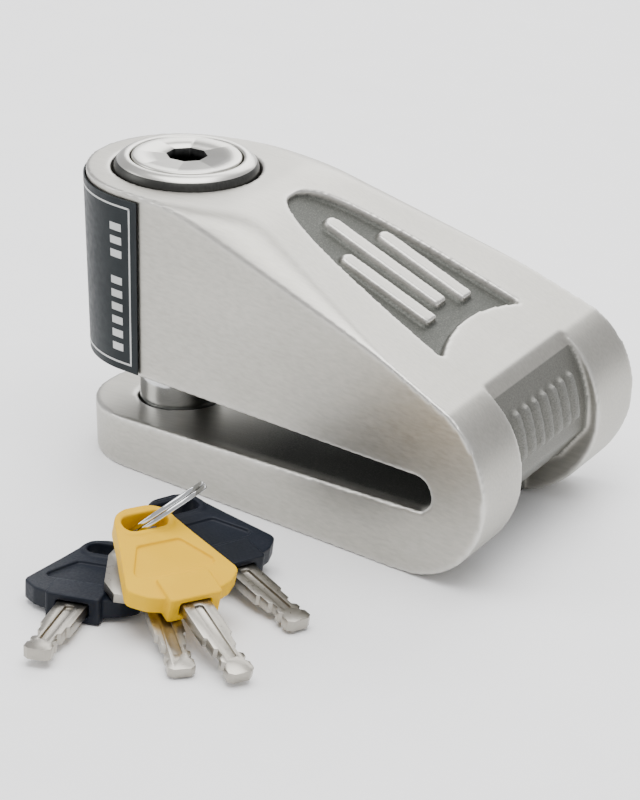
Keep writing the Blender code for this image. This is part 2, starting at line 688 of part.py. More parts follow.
def coil_spring(name, radius, wire, low, high, turns, material, parent, matrix=None):
    """A helical spring of round wire."""
    curve = bpy.data.curves.new(name, "CURVE")
    curve.dimensions = "3D"
    curve.bevel_depth = wire
    curve.bevel_resolution = 1
    curve.use_fill_caps = True
    spline = curve.splines.new("POLY")
    count = turns * 12 + 1
    spline.points.add(count - 1)
    for n in range(count):
        angle = 2 * math.pi * n / 12
        height = low + wire + (high - low - 2 * wire) * n / (count - 1)
        point = Vector((radius * math.cos(angle), radius * math.sin(angle), height))
        spline.points[n].co = (*(matrix @ point if matrix else point), 1)
    curve.materials.append(material)
    made = bpy.data.objects.new(name, curve)
    bpy.context.collection.objects.link(made)
    made.parent = parent
    made.matrix_parent_inverse = parent.matrix_world.inverted()
    return made


def guide_screw(material):
    """The grub screw whose tip rides in the barrel's groove."""
    outer = column_radius(SCREW_HEIGHT) - 0.6 * MM
    shoulder = BORE_RADIUS + 0.4 * MM
    profile = [
        (0, BARREL_RADIUS - SCREW_BITE),
        (SCREW_TIP_RADIUS, BARREL_RADIUS - SCREW_BITE),
        (SCREW_TIP_RADIUS, shoulder),
        (SCREW_RADIUS, shoulder),
        (SCREW_RADIUS, outer),
        (0, outer),
    ]
    lie = Matrix.Translation((0, 0, SCREW_HEIGHT)) @ Matrix.Rotation(-math.pi / 2, 4, "Y")
    made = place("guide_screw", turned(profile, 16, closed=False), material, lie)
    socket = prism(arc((0, 0), 0.9 * MM, 0, 5 * math.pi / 3, 5), outer - 1.2 * MM, outer + 1 * MM)
    combine(made, guide("cut_screw_socket", socket, lie))
    return made


def seal_ring(material, parent):
    """The rubber ring in the barrel's groove."""
    middle = BARREL_RADIUS - SEAL_RADIUS - 0.05 * MM
    section = arc((middle, SEAL_HEIGHT), SEAL_RADIUS * 0.92, 0, 2 * math.pi * 7 / 8, 7)
    return place("seal_ring", turned(section, 36), material, parent=parent)


def label(material):
    """The sticker wrapped round the column's rear."""
    steps = 30
    bm = bmesh.new()
    loops = []
    for z, lift in ((LABEL_LOW, 0), (LABEL_LOW, 1), (LABEL_HIGH, 1), (LABEL_HIGH, 0)):
        radius = column_radius(z) + GAP + lift * LABEL_THICKNESS
        turn = arc((0, 0), radius, math.pi - LABEL_HALF_ANGLE, math.pi + LABEL_HALF_ANGLE, steps)
        loops.append([bm.verts.new((x, y, z)) for x, y in turn])
    for n in range(4):
        first, second = loops[n], loops[(n + 1) % 4]
        for k in range(steps):
            bm.faces.new((first[k], first[k + 1], second[k + 1], second[k]))
    bm.faces.new([loop[0] for loop in loops])
    bm.faces.new([loop[-1] for loop in loops])
    return place("label", bm, material)


# ---------------------------------------------------------------- keys
def lie_key(base, heading, pitch, roll=0.0):
    """Where a key lies: base is the blade's root, pitch points the blade down."""
    return (
        Matrix.Translation(Vector(base) * MM)
        @ Matrix.Rotation(heading * DEG, 4, "Z")
        @ Matrix.Rotation(pitch * DEG, 4, "Y")
        @ Matrix.Rotation(roll * DEG, 4, "X")
    )


def key_bow(name, material, matrix):
    """A moulded fan-shaped bow with a ring hole and a collar round the blade."""
    ring_end = -BOW_LENGTH
    side = [
        (ring_end, 3.9 * MM, 3.0 * MM),
        (-14.5 * MM, 6.2 * MM, 5.0 * MM),
        (-4.6 * MM, BOW_HALF_WIDTH, 1.5 * MM),
        (-2.4 * MM, COLLAR_HALF_WIDTH + 2.6 * MM, 1.2 * MM),
        (-1.2 * MM, COLLAR_HALF_WIDTH - 0.4 * MM, 0.4 * MM),
    ]
    other = [(x, -y, radius) for x, y, radius in reversed(side)]
    half = BOW_THICKNESS / 2
    made = place(name, prism(rounded(other + side), -half, half), material, matrix)
    collar_half = COLLAR_THICKNESS / 2
    collar = block((-COLLAR_LENGTH, -COLLAR_HALF_WIDTH, -collar_half), (0, COLLAR_HALF_WIDTH, collar_half))
    combine(made, guide(f"{name}_collar", collar, matrix), "UNION")
    length, width = RING_HOLE_LENGTH / 2, RING_HOLE_WIDTH / 2
    hole = [
        (RING_HOLE_X - width, -length, width * 0.9),
        (RING_HOLE_X + width, -length, width * 0.9),
        (RING_HOLE_X + width, length, width * 0.9),
        (RING_HOLE_X - width, length, width * 0.9),
    ]
    combine(made, guide(f"{name}_ring_hole", prism(rounded(hole), -4 * MM, 4 * MM), matrix))
    tang = BLADE_HALF_WIDTH + GAP
    thick = BLADE_THICKNESS / 2 + GAP
    socket = block((-TANG_LENGTH - GAP, -tang, -thick), (2 * MM, tang, thick))
    combine(made, guide(f"{name}_socket", socket, matrix))
    return made


def blade_edge(root):
    """One edge of a blade from its root to its tip, as X and half width, stepped by its cuts."""
    wide, tip = BLADE_HALF_WIDTH, BLADE_LENGTH
    return [
        (root, wide),
        (tip * 0.46, wide),
        (tip * 0.48, wide * 0.8),
        (tip * 0.62, wide * 0.8),
        (tip * 0.64, wide * 0.55),
        (tip * 0.72, wide * 0.55),
        (tip * 0.75, wide * 0.85),
        (tip * 0.80, wide * 0.85),
        (tip * 0.83, wide * 0.6),
        (tip * 0.87, wide * 0.9),
        (tip * 0.96, wide * 0.9),
        (tip, wide * 0.55),
    ]


def key_blade(name, material, matrix):
    """A nickel blade with its tang in the bow."""
    upper = blade_edge(-TANG_LENGTH)
    outline = [(x, -y) for x, y in upper] + list(reversed(upper))
    half = BLADE_THICKNESS / 2
    return place(name, prism(outline, -half, half), material, matrix, smooth=False)


def spare_key(material, matrix):
    """A bare one-piece steel key."""
    rear = -15.0 * MM
    upper = [(rear, 3.4 * MM), (rear + 2 * MM, 5.2 * MM), (-6.5 * MM, 7.2 * MM), (-3.2 * MM, 6.4 * MM)]
    upper += blade_edge(-1.6 * MM)
    outline = [(x, -y) for x, y in upper] + list(reversed(upper))
    half = BLADE_THICKNESS / 2 - 0.1 * MM
    made = place("spare_key", prism(outline, -half, half), material, matrix, smooth=False)
    hole = rod(2.4 * MM, -3 * MM, 3 * MM, 16)
    hole_at = matrix @ Matrix.Translation((rear + 3.4 * MM, 0, 0))
    combine(made, guide("cut_spare_key_hole", hole, hole_at))
    return made


def split_ring(material, matrix):
    """The key ring, its two turns lying against each other."""
    corner = 0.3 * MM
    half, tall = RING_WIRE / 2, RING_WIRE
    corners = [
        (RING_RADIUS - half, -tall, corner),
        (RING_RADIUS + half, -tall, corner),
        (RING_RADIUS + half, tall, corner),
        (RING_RADIUS - half, tall, corner),
    ]
    return place("split_ring", turned(rounded(corners, 1), 36), material, matrix)


def keys(bow_black, bow_yellow, nickel, steel):
    """The bunch of keys that lies in front of the lock."""
    flat = COLLAR_THICKNESS / 2 / MM  # the height of a key that lies flat
    spare_height = flat + BOW_THICKNESS / 2 / MM + 0.55
    front_height = spare_height + flat - 0.15
    ring_height = front_height + RING_RISE / MM
    lies = {
        "left": (lie_key((20.8, -66.9, flat + 0.1), -77, 0), bow_black),
        "right": (lie_key((37.4, -44.3, flat + 1.4), -25, 8.0), bow_black),
        "front": (lie_key((40.2, -63.0, front_height), -32, 17.1), bow_yellow),
    }
    for name, (matrix, material) in lies.items():
        key_bow(f"key_bow_{name}", material, matrix)
        key_blade(f"key_blade_{name}", nickel, matrix)
    spare_key(steel, lie_key((33.65, -62.5, spare_height), -46, 11.5))
    normal = Vector((0.673, 0.0, -0.741))
    stand = normal.to_track_quat("Z", "Y").to_matrix().to_4x4()
    split_ring(steel, Matrix.Translation(Vector((25.2, -47.6, ring_height)) * MM) @ stand)


# ---------------------------------------------------------------- assembly
def empty(name, where, parent=None):
    """An empty on a joint's axis."""
    made = bpy.data.objects.new(name, None)
    bpy.context.collection.objects.link(made)
    made.location = where
    made.parent = parent
    bpy.context.view_layer.update()
    return made


def main():
    for old in list(bpy.data.objects):
        bpy.data.objects.remove(old, do_unlink=True)
    satin = finish("satin_steel", (0.60, 0.59, 0.55), 1.0, 0.38)
    polished = finish("polished_steel", (0.78, 0.78, 0.76), 1.0, 0.16)
    chrome = finish("hard_chrome", (0.55, 0.56, 0.56), 1.0, 0.1)
    brass = finish("brass", (0.75, 0.56, 0.24), 1.0, 0.35)
    spring_steel = finish("spring_steel", (0.40, 0.40, 0.42), 1.0, 0.35)
    nickel = finish("nickel", (0.62, 0.61, 0.58), 1.0, 0.3)
    rubber = finish("black_rubber", (0.02, 0.02, 0.02), 0.0, 0.7)
    sticker = finish("black_sticker", (0.02, 0.025, 0.028), 0.0, 0.35)
    black = finish("black_plastic", (0.012, 0.016, 0.024), 0.0, 0.45)
    yellow = finish("yellow_plastic", (0.80, 0.52, 0.05), 0.0, 0.4)

    lock_body(satin)
    guide_screw(spring_steel)
    label(sticker)

    slide = empty("slide_axis", (0, 0, BARREL_BOTTOM))
    barrel(polished, slide)
    locking_pin(chrome, slide)
    cross_length = BARREL_RADIUS - 0.2 * MM
    cross = rod(CROSS_PIN_RADIUS, -cross_length, cross_length, 12)
    place("cross_pin", cross, spring_steel, across_y(CROSS_PIN_HEIGHT), slide)
    seal_ring(rubber, slide)
    coil_spring(
        "return_spring",
        PIN_RADIUS + 2.2 * MM,
        SPRING_WIRE_RADIUS,
        BORE_FLOOR + GAP,
        BARREL_BOTTOM - GAP,
        3,
        spring_steel,
        slide,
    )

    turn = empty("key_axis", (0, 0, BARREL_TOP), slide)
    plug(polished, turn)
    disc_stack(spring_steel, brass, turn)
    sidebar(spring_steel, turn)
    drive_cam(spring_steel, turn)

    draw = empty("latch_axis", (0, 0, (LATCH_LOW + LATCH_TOP) / 2), slide)
    latch_bolt(spring_steel, draw)
    along_x = Matrix.Translation((0, 0, (LATCH_LOW + LATCH_TOP) / 2)) @ Matrix.Rotation(
        math.pi / 2, 4, "Y"
    )
    coil_spring(
        "latch_spring",
        LATCH_SPRING_RADIUS,
        LATCH_SPRING_WIRE,
        2 * GAP - CHAMBER_RADIUS,
        LATCH_TAIL_X - GAP,
        5,
        spring_steel,
        draw,
        along_x,
    )

    keys(black, yellow, nickel, spring_steel)


main()
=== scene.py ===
"""Looks of the disc brake lock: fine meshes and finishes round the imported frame."""

import json
import logging
import math
from dataclasses import dataclass
from enum import Enum

import bmesh
import bpy
import numpy as np
from mathutils import Matrix, Vector


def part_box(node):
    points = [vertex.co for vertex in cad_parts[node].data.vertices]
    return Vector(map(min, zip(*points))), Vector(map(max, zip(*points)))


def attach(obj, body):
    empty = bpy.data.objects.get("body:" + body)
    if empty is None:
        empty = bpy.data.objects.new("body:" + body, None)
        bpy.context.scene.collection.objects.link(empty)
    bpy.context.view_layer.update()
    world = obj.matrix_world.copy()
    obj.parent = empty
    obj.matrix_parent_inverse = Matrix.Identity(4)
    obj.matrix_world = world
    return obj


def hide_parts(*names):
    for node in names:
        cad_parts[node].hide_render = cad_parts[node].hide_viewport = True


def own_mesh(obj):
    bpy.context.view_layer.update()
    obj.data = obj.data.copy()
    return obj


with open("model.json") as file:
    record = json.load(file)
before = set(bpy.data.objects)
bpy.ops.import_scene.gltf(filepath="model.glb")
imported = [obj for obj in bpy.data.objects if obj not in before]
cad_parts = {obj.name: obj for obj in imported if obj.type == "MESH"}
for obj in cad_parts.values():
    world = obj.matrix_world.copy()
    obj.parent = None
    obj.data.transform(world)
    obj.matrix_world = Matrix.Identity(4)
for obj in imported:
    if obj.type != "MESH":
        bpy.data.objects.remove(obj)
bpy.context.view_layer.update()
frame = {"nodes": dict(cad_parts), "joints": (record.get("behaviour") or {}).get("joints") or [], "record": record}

LOG = logging.getLogger("disc_lock")
MM = 0.001
DEG = math.pi / 180
FULL_TURN = 2 * math.pi
ON_AXIS = 1e-9  # nearer the axis than this counts as on it
SAME_POINT = 1e-7  # corners nearer than this are one
MIDDLE = (0.3, 0.7)  # the part of its range that a noise mostly fills
BOTH_WAYS = ((0, 1), (1, 0))  # from either end of an edge to its other end
Outline = list[tuple[float, float]]
Span = tuple[float, float]
Point = tuple[float, float, float]
Colour = tuple[float, float, float]
Mesh = bmesh.types.BMesh
Piece = bpy.types.Object
Socket = bpy.types.NodeSocket
Value = float | Socket
Paint = Colour | Socket


# ---------------------------------------------------------------- workshop: bmesh helpers
def travel(joint: str) -> float:
    """How far a sliding joint of the frame goes, in metres."""
    return next(j for j in frame["joints"] if j["name"] == joint)["range_m"][1]


def circle_part(centre: tuple[float, float], radius: float, start: float, end: float, steps: int) -> Outline:
    """Points along an arc.

    Args:
        centre: The arc's centre.
        radius: Its radius.
        start: First angle, in radians.
        end: Last angle.
        steps: How many chords it has.

    Returns:
        The points in order.
    """
    turn = [start + (end - start) * n / steps for n in range(steps + 1)]
    return [(centre[0] + radius * math.cos(a), centre[1] + radius * math.sin(a)) for a in turn]


def rounded(corners: list[tuple[float, float, float]], steps: int = 6) -> Outline:
    """An outline whose corners are rounded.

    Args:
        corners: Each corner's x, y and radius, in order.
        steps: Chords for each corner.

    Returns:
        The outline's points.
    """
    outline: Outline = []
    for n, (x, y, radius) in enumerate(corners):
        here = Vector((x, y))
        before = (Vector(corners[n - 1][:2]) - here).normalized()
        after = (Vector(corners[(n + 1) % len(corners)][:2]) - here).normalized()
        half = before.angle(after) / 2
        middle = here + (before + after).normalized() * radius / math.sin(half)
        first = here + before * radius / math.tan(half) - middle
        last = here + after * radius / math.tan(half) - middle
        sweep = first.angle_signed(last) if radius else 0.0
        for k in range(steps + 1 if radius else 1):
            point = middle + Matrix.Rotation(-sweep * k / steps, 2) @ first
            outline.append((point.x, point.y))
    return outline


def prism(outline: Outline, low: float, high: float) -> Mesh:
    """An outline extruded along Z from low to high.

    Args:
        outline: The shape's X and Y points.
        low: The lower face's height.
        high: The upper face's height.

    Returns:
        A closed mesh.
    """
    bm = bmesh.new()
    face = bm.faces.new([bm.verts.new((x, y, low)) for x, y in outline])
    raised = bmesh.ops.extrude_face_region(bm, geom=[face])["geom"]
    lifted = [v for v in raised if isinstance(v, bmesh.types.BMVert)]
    bmesh.ops.translate(bm, vec=(0, 0, high - low), verts=lifted)
    bmesh.ops.recalc_face_normals(bm, faces=bm.faces)
    return bm


def side_prism(outline: Outline, half_width: float) -> Mesh:
    """An outline of X and Z points, extruded across the lock.

    Args:
        outline: The shape's X and Z points.
        half_width: How far it reaches each way along Y.

    Returns:
        A closed mesh.
    """
    bm = prism(outline, -half_width, half_width)
    bmesh.ops.rotate(bm, cent=(0, 0, 0), matrix=Matrix.Rotation(90 * DEG, 3, "X"), verts=bm.verts)
    return bm


def turned(profile: Outline, segments: int = 128, sweep: float = FULL_TURN, start: float = 0.0) -> Mesh:
    """Spins a closed profile of radius and height round Z.

    Args:
        profile: Radius and height points; a solid piece's profile has two points on the axis.
        segments: Steps of the spin.
        sweep: The angle turned through.
        start: Where the turn starts, in radians.

    Returns:
        A closed mesh with its faces pointing out.
    """
    bm = bmesh.new()
    points = [bm.verts.new((r * math.cos(start), r * math.sin(start), z)) for r, z in profile]
    full = abs(sweep - FULL_TURN) < 1e-6
    if full:
        pairs = zip(points, points[1:] + points[:1])
        off_axis = [p for p in pairs if p[0].co.xy.length + p[1].co.xy.length > ON_AXIS]
        geom = points + [bm.edges.new(p) for p in off_axis]
    else:
        face = bm.faces.new(points)
        geom = points + list(face.edges) + [face]
    bmesh.ops.spin(
        bm, geom=geom, cent=(0, 0, 0), axis=(0, 0, 1), dvec=(0, 0, 0),
        angle=sweep, steps=segments, use_merge=full,
    )
    bmesh.ops.remove_doubles(bm, verts=bm.verts, dist=SAME_POINT)
    bmesh.ops.recalc_face_normals(bm, faces=bm.faces)
    return bm


def wind(section: Outline, radius: float, step: float, rises: list[float]) -> Mesh:
    """Sweeps a section round Z, one short turn at a time.

    Args:
        section: The wire's outline, in radius and height from its own middle.
        radius: From the axis to the wire's middle.
        step: The angle of each short turn.
        rises: How far each short turn climbs.

    Returns:
        A closed mesh whose wire starts at height 0.
    """
    bm = bmesh.new()
    face = bm.faces.new([bm.verts.new((radius + r, 0, z)) for r, z in section])
    last = list(face.verts) + list(face.edges) + [face]
    for rise in rises:
        last = bmesh.ops.spin(
            bm, geom=last, cent=(0, 0, 0), axis=(0, 0, 1), dvec=(0, 0, rise),
            angle=step, steps=1, use_merge=False,
        )["geom_last"]
    bmesh.ops.recalc_face_normals(bm, faces=bm.faces)
    return bm


def helix(radius: float, wire: float, length: float, turns: int, sides: int) -> Mesh:
    """A coil spring's round wire, from height 0 to a length measured between wire middles.

    Args:
        radius: From the axis to the wire's middle.
        wire: The wire's radius.
        length: The coil's height between its end wires' middles.
        turns: How many turns it has.
        sides: How many flats the wire's section has.

    Returns:
        A closed mesh.
    """
    section = circle_part((0, 0), wire, 0, FULL_TURN * (sides - 1) / sides, sides - 1)
    steps_round = 40
    steps = turns * steps_round
    return wind(section, radius, FULL_TURN / steps_round, [length / steps] * steps)


def piece(name: str, bm: Mesh, place: Matrix | None = None, smooth_angle: float = 35.0) -> Piece:
    """Makes an object of a bmesh, with its place in the mesh.

    Args:
        name: The object's name.
        bm: The shape, which is freed.
        place: Where it goes in the frame.
        smooth_angle: Edges sharper than this many degrees stay sharp.

    Returns:
        The new object, at the origin.
    """
    if place is not None:
        bmesh.ops.transform(bm, matrix=place, verts=bm.verts)
    mesh = bpy.data.meshes.new(name)
    bm.to_mesh(mesh)
    bm.free()
    mesh.shade_smooth()
    mesh.set_sharp_from_angle(angle=smooth_angle * DEG)
    made = bpy.data.objects.new(name, mesh)
    bpy.context.scene.collection.objects.link(made)
    return made


def settle(made: Piece) -> Piece:
    """Applies every modifier on a piece.

    Args:
        made: The piece whose modifiers are applied.

    Returns:
        The same piece.
    """
    bpy.context.view_layer.update()
    shaped = made.evaluated_get(bpy.context.evaluated_depsgraph_get())
    mesh = bpy.data.meshes.new_from_object(shaped)
    made.modifiers.clear()
    made.data = mesh
    return made


class Cut(Enum):
    """What a tool shape does to the piece it meets."""

    AWAY = "DIFFERENCE"
    ADD = "UNION"


def shape_with(made: Piece, tools: list[tuple[Cut, Mesh]]) -> Piece:
    """Cuts and adds tool shapes, one after another, and applies the result.

    Args:
        made: The piece to shape.
        tools: What each tool does, and its shape, in order.

    Returns:
        The same piece.
    """
    helpers = []
    for n, (cut, bm) in enumerate(tools):
        tool = piece(f"{made.name}_tool_{n}", bm)
        step = made.modifiers.new(f"step_{n}", "BOOLEAN")
        step.operation, step.solver, step.object = cut.value, "EXACT", tool
        helpers.append(tool)
    settle(made)
    for tool in helpers:
        bpy.data.objects.remove(tool, do_unlink=True)
    return made


def soften(made: Piece, voxel: float, passes: int, keep: float = 1.0) -> Piece:
    """Rounds every edge as casting or moulding does.

    Args:
        made: The piece to soften.
        voxel: The remesh cell, which sets the smallest radius.
        passes: How many smoothing passes follow.
        keep: The share of triangles left by the last step.

    Returns:
        The same piece, with the result applied.
    """
    cells = made.modifiers.new("cells", "REMESH")
    cells.mode, cells.voxel_size, cells.use_smooth_shade = "VOXEL", voxel, True
    relax = made.modifiers.new("relax", "SMOOTH")
    relax.factor, relax.iterations = 0.5, passes
    if keep < 1:
        fewer = made.modifiers.new("fewer", "DECIMATE")
        fewer.ratio = keep
    settle(made)
    made.data.shade_smooth()
    return made


def ease_edges(made: Piece, width: float, segments: int = 2) -> Piece:
    """Rounds a machined piece's sharp edges with a fine bevel.

    Args:
        made: The piece to ease.
        width: The bevel's width.
        segments: How many faces the bevel has.

    Returns:
        The same piece.
    """
    bevelled_over, sharp_over = 30 * DEG, 50 * DEG
    ease = made.modifiers.new("ease", "BEVEL")
    ease.width, ease.segments, ease.limit_method = width, segments, "ANGLE"
    ease.angle_limit, ease.use_clamp_overlap = bevelled_over, True
    settle(made)
    made.data.shade_smooth()
    made.data.set_sharp_from_angle(angle=sharp_over)
    return made


# ---------------------------------------------------------------- finishes
class Maths(Enum):
    """How two values of a material are combined."""

    PLUS = "ADD"
    TIMES = "MULTIPLY"
    POWER = "POWER"


class Grain(Enum):
    """Which way a surface was worked, as a noise scale for each axis."""

    UPRIGHT = (2600.0, 2600.0, 180.0)
    CAST = (1500.0, 1500.0, 1500.0)


class Recipe:
    """A material's node tree, built one node at a time."""

    SHARE, FIRST, SECOND, MIXED = 0, 6, 7, 2  # the Mix node's inputs and output for colours

    def __init__(self, name: str) -> None:
        """Starts with a Principled shader and Object coordinates.

        Args:
            name: The material's name.
        """
        self.material = bpy.data.materials.new(name)
        self.material.use_nodes = True
        self.tree = self.material.node_tree
        self.shader = self.tree.nodes["Principled BSDF"]
        self.place = self.tree.nodes.new("ShaderNodeTexCoord").outputs["Object"]

    def node(self, kind: str, inputs: dict[str | int, object] | None = None, **settings: object) -> bpy.types.Node:
        """Adds a node.

        Args:
            kind: The node's type, without the ShaderNode prefix.
            inputs: Values or sockets for its inputs, by name or number.
            settings: The node's own properties.

        Returns:
            The new node.
        """
        made = self.tree.nodes.new(f"ShaderNode{kind}")
        for key, value in settings.items():
            setattr(made, key, value)
        for key, value in (inputs or {}).items():
            if isinstance(value, Socket):
                self.tree.links.new(value, made.inputs[key])
            else:
                made.inputs[key].default_value = value
        return made

    def noise(self, scale: Point, detail: float = 3.0, where: Socket | None = None) -> Socket:
        """Noise whose grain is stretched by a scale for each axis, as a value socket."""
        spread = self.node("Mapping", {"Vector": where or self.place, "Scale": scale})
        return self.node("TexNoise", {"Vector": spread.outputs[0], "Scale": 1.0, "Detail": detail}).outputs[0]

    def span(self, value: Value, low: float, high: float, to_low: float = 0.0, to_high: float = 1.0) -> Socket:
        """Maps a value from one range to another, clamped."""
        inputs = {"Value": value, "From Min": low, "From Max": high, "To Min": to_low, "To Max": to_high}
        return self.node("MapRange", inputs).outputs[0]

    def join(self, one: Value, other: Value, how: Maths = Maths.PLUS) -> Socket:
        """One step of maths between two values."""
        return self.node("Math", {0: one, 1: other}, operation=how.value).outputs[0]

    def blend(self, share: Value, first: Paint, second: Paint) -> Socket:
        """Mixes two colours by a share.

        Args:
            share: How much of the second colour shows.
            first: The first colour.
            second: The second colour.

        Returns:
            The mixed colour.
        """
        mix = self.node("Mix", data_type="RGBA")
        for key, value in ((self.SHARE, share), (self.FIRST, first), (self.SECOND, second)):
            if isinstance(value, Socket):
                self.tree.links.new(value, mix.inputs[key])
            elif key == self.SHARE:
                mix.inputs[key].default_value = value
            else:
                mix.inputs[key].default_value = (*value, 1.0)
        return mix.outputs[self.MIXED]

    def attribute(self, name: str) -> Socket:
        """A value painted on the mesh."""
        return self.node("Attribute", attribute_name=name).outputs["Fac"]

    def bump(self, height: Socket, depth: float, strength: float) -> None:
        """Gives the shader a bump of a real depth, in metres."""
        made = self.node("Bump", {"Height": height, "Distance": depth, "Strength": strength})
        self.tree.links.new(made.outputs[0], self.shader.inputs["Normal"])

    def feed(self, **sockets: object) -> bpy.types.Material:
        """Feeds the shader's inputs.

        Args:
            sockets: A value or socket for each input, with underscores for spaces.

        Returns:
            The material.
        """
        for key, value in sockets.items():
            target = self.shader.inputs[key.replace("_", " ")]
            if isinstance(value, Socket):
                self.tree.links.new(value, target)
            elif isinstance(value, tuple) and len(value) == 3:
                target.default_value = (*value, 1.0)
            else:
                target.default_value = value
        return self.material


@dataclass(frozen=True)
class WorkedMetal:
    """Brushed, ground or cast metal with streaks, tone and fine scratches."""

    name: str
    light: Colour
    dark: Colour
    rough: Span
    grain: Grain
    depth: float = 0.00001
    strength: float = 0.25
    cloud_scale: float = 55.0

    def make(self) -> bpy.types.Material:
        """Builds the material.

        Returns:
            The material.
        """
        recipe = Recipe(self.name)
        streaks = recipe.noise(self.grain.value, 4.0)
        cloud = recipe.noise((self.cloud_scale,) * 3, 2.0)
        tone = recipe.join(recipe.span(streaks, *MIDDLE), recipe.span(cloud, *MIDDLE), Maths.TIMES)
        recipe.bump(streaks, self.depth, self.strength)
        return recipe.feed(
            Base_Color=recipe.blend(tone, self.dark, self.light),
            Roughness=recipe.span(streaks, *MIDDLE, *self.rough),
            Metallic=1.0,
        )


@dataclass(frozen=True)
class BodySteel:
    """The body's satin steel, darkened in its recesses (a blasted finish on the pocket's floor, painted shade inside
    the disc slot) and rubbed bright along its edges.
    """

    name: str = "satin_body_steel"
    light: Colour = (0.47, 0.455, 0.412)
    dark: Colour = (0.355, 0.345, 0.31)
    # painted shade: this dark colour stands both for the blasted pocket floor and for the shade painted inside the
    # disc slot; the web's recess is darkened by it too
    blasted_and_shaded: Colour = (0.088, 0.091, 0.082)
    worn: Colour = (0.70, 0.69, 0.66)
    brushing: Point = (260.0, 3000.0, 1900.0)
    pitting: float = 4200.0
    mottling: Point = (42.0, 60.0, 60.0)
    satin: Span = (0.37, 0.43)
    pit_tone: Span = (0.85, 1.1)
    blasted_roughness: float = 0.22
    rub: float = 0.55
    pit_depth: float = 0.00002
    pit_strength: float = 0.25

    def make(self) -> bpy.types.Material:
        """Builds the material, which reads the recess and edge values painted on the mesh; the recess value darkens
        the colour, partly as painted shade.

        Returns:
            The material.
        """
        recipe = Recipe(self.name)
        recess, edge = recipe.attribute("recess"), recipe.attribute("edge")
        brushed = recipe.noise(self.brushing, 5.0)
        speckle = recipe.noise((self.pitting,) * 3, 2.0)
        cloud = recipe.noise(self.mottling, 3.0)
        tone = recipe.join(recipe.span(brushed, 0.32, 0.68, 0, 0.6), recipe.span(cloud, *MIDDLE, 0, 0.4))
        steel = recipe.blend(tone, self.dark, self.light)
        rubbed = recipe.blend(recipe.join(edge, self.rub, Maths.TIMES), steel, self.worn)
        # the recess value, broken up by fine noise, sets how far the colour goes to the dark tone, which is painted
        # shade in the slot
        fine = recipe.span(speckle, *MIDDLE, *self.pit_tone)
        blast_and_shade_share = recipe.join(recess, fine, Maths.TIMES)
        satin = recipe.span(brushed, 0.2, 0.8, *self.satin)
        rough = recipe.join(satin, recipe.span(blast_and_shade_share, 0.0, 1.0, 0.0, self.blasted_roughness))
        recipe.bump(recipe.join(speckle, recess, Maths.TIMES), self.pit_depth, self.pit_strength)
        return recipe.feed(
            Base_Color=recipe.blend(blast_and_shade_share, rubbed, self.blasted_and_shaded),
            Roughness=rough,
            Metallic=1.0,
        )


@dataclass(frozen=True)
class TurnedMetal:
    """Metal turned on a lathe about the lock's axis: fine rings and a bright polish."""

    name: str
    light: Colour
    dark: Colour
    rough: Span
    ring_scale: float = 5200.0
    smudge_scale: float = 120.0
    ring_depth: float = 0.000008
    ring_strength: float = 0.18

    def make(self) -> bpy.types.Material:
        """Builds the material.

        Returns:
            The material.
        """
        recipe = Recipe(self.name)
        parts = recipe.node("SeparateXYZ", {0: recipe.place})
        squares = [recipe.join(parts.outputs[n], parts.outputs[n], Maths.TIMES) for n in (0, 1)]
        radius = recipe.join(recipe.join(*squares), 0.5, Maths.POWER)
        rings = recipe.node("CombineXYZ", {0: radius, 2: parts.outputs[2]}).outputs[0]
        lathe = recipe.noise((self.ring_scale, 1.0, self.ring_scale), 3.0, rings)
        smudge = recipe.noise((self.smudge_scale,) * 3, 3.0)
        recipe.bump(lathe, self.ring_depth, self.ring_strength)
        return recipe.feed(
            Base_Color=recipe.blend(recipe.span(smudge, *MIDDLE), self.dark, self.light),
            Roughness=recipe.span(recipe.join(lathe, smudge, Maths.TIMES), 0.12, 0.4, *self.rough),
            Metallic=1.0,
        )


@dataclass(frozen=True)
class Moulded:
    """Moulded plastic, rubber or film: a fine spark-eroded grain and a little tone."""

    name: str
    colour: Colour
    shade: Colour
    rough: Span
    grain: float = 2600.0
    depth: float = 0.00003
    strength: float = 0.3
    gloss: float = 0.3
    cloud_scale: float = 90.0

    def make(self) -> bpy.types.Material:
        """Builds the material.

        Returns:
            The material.
        """
        recipe = Recipe(self.name)
        recipe.shader.inputs["Specular IOR Level"].default_value = self.gloss
        pores = recipe.noise((self.grain,) * 3, 3.0)
        cloud = recipe.noise((self.cloud_scale,) * 3, 2.0)
        recipe.bump(pores, self.depth, self.strength)
        return recipe.feed(
            Base_Color=recipe.blend(recipe.span(cloud, *MIDDLE), self.shade, self.colour),
            Roughness=recipe.span(pores, *MIDDLE, *self.rough),
            Metallic=0.0,
        )


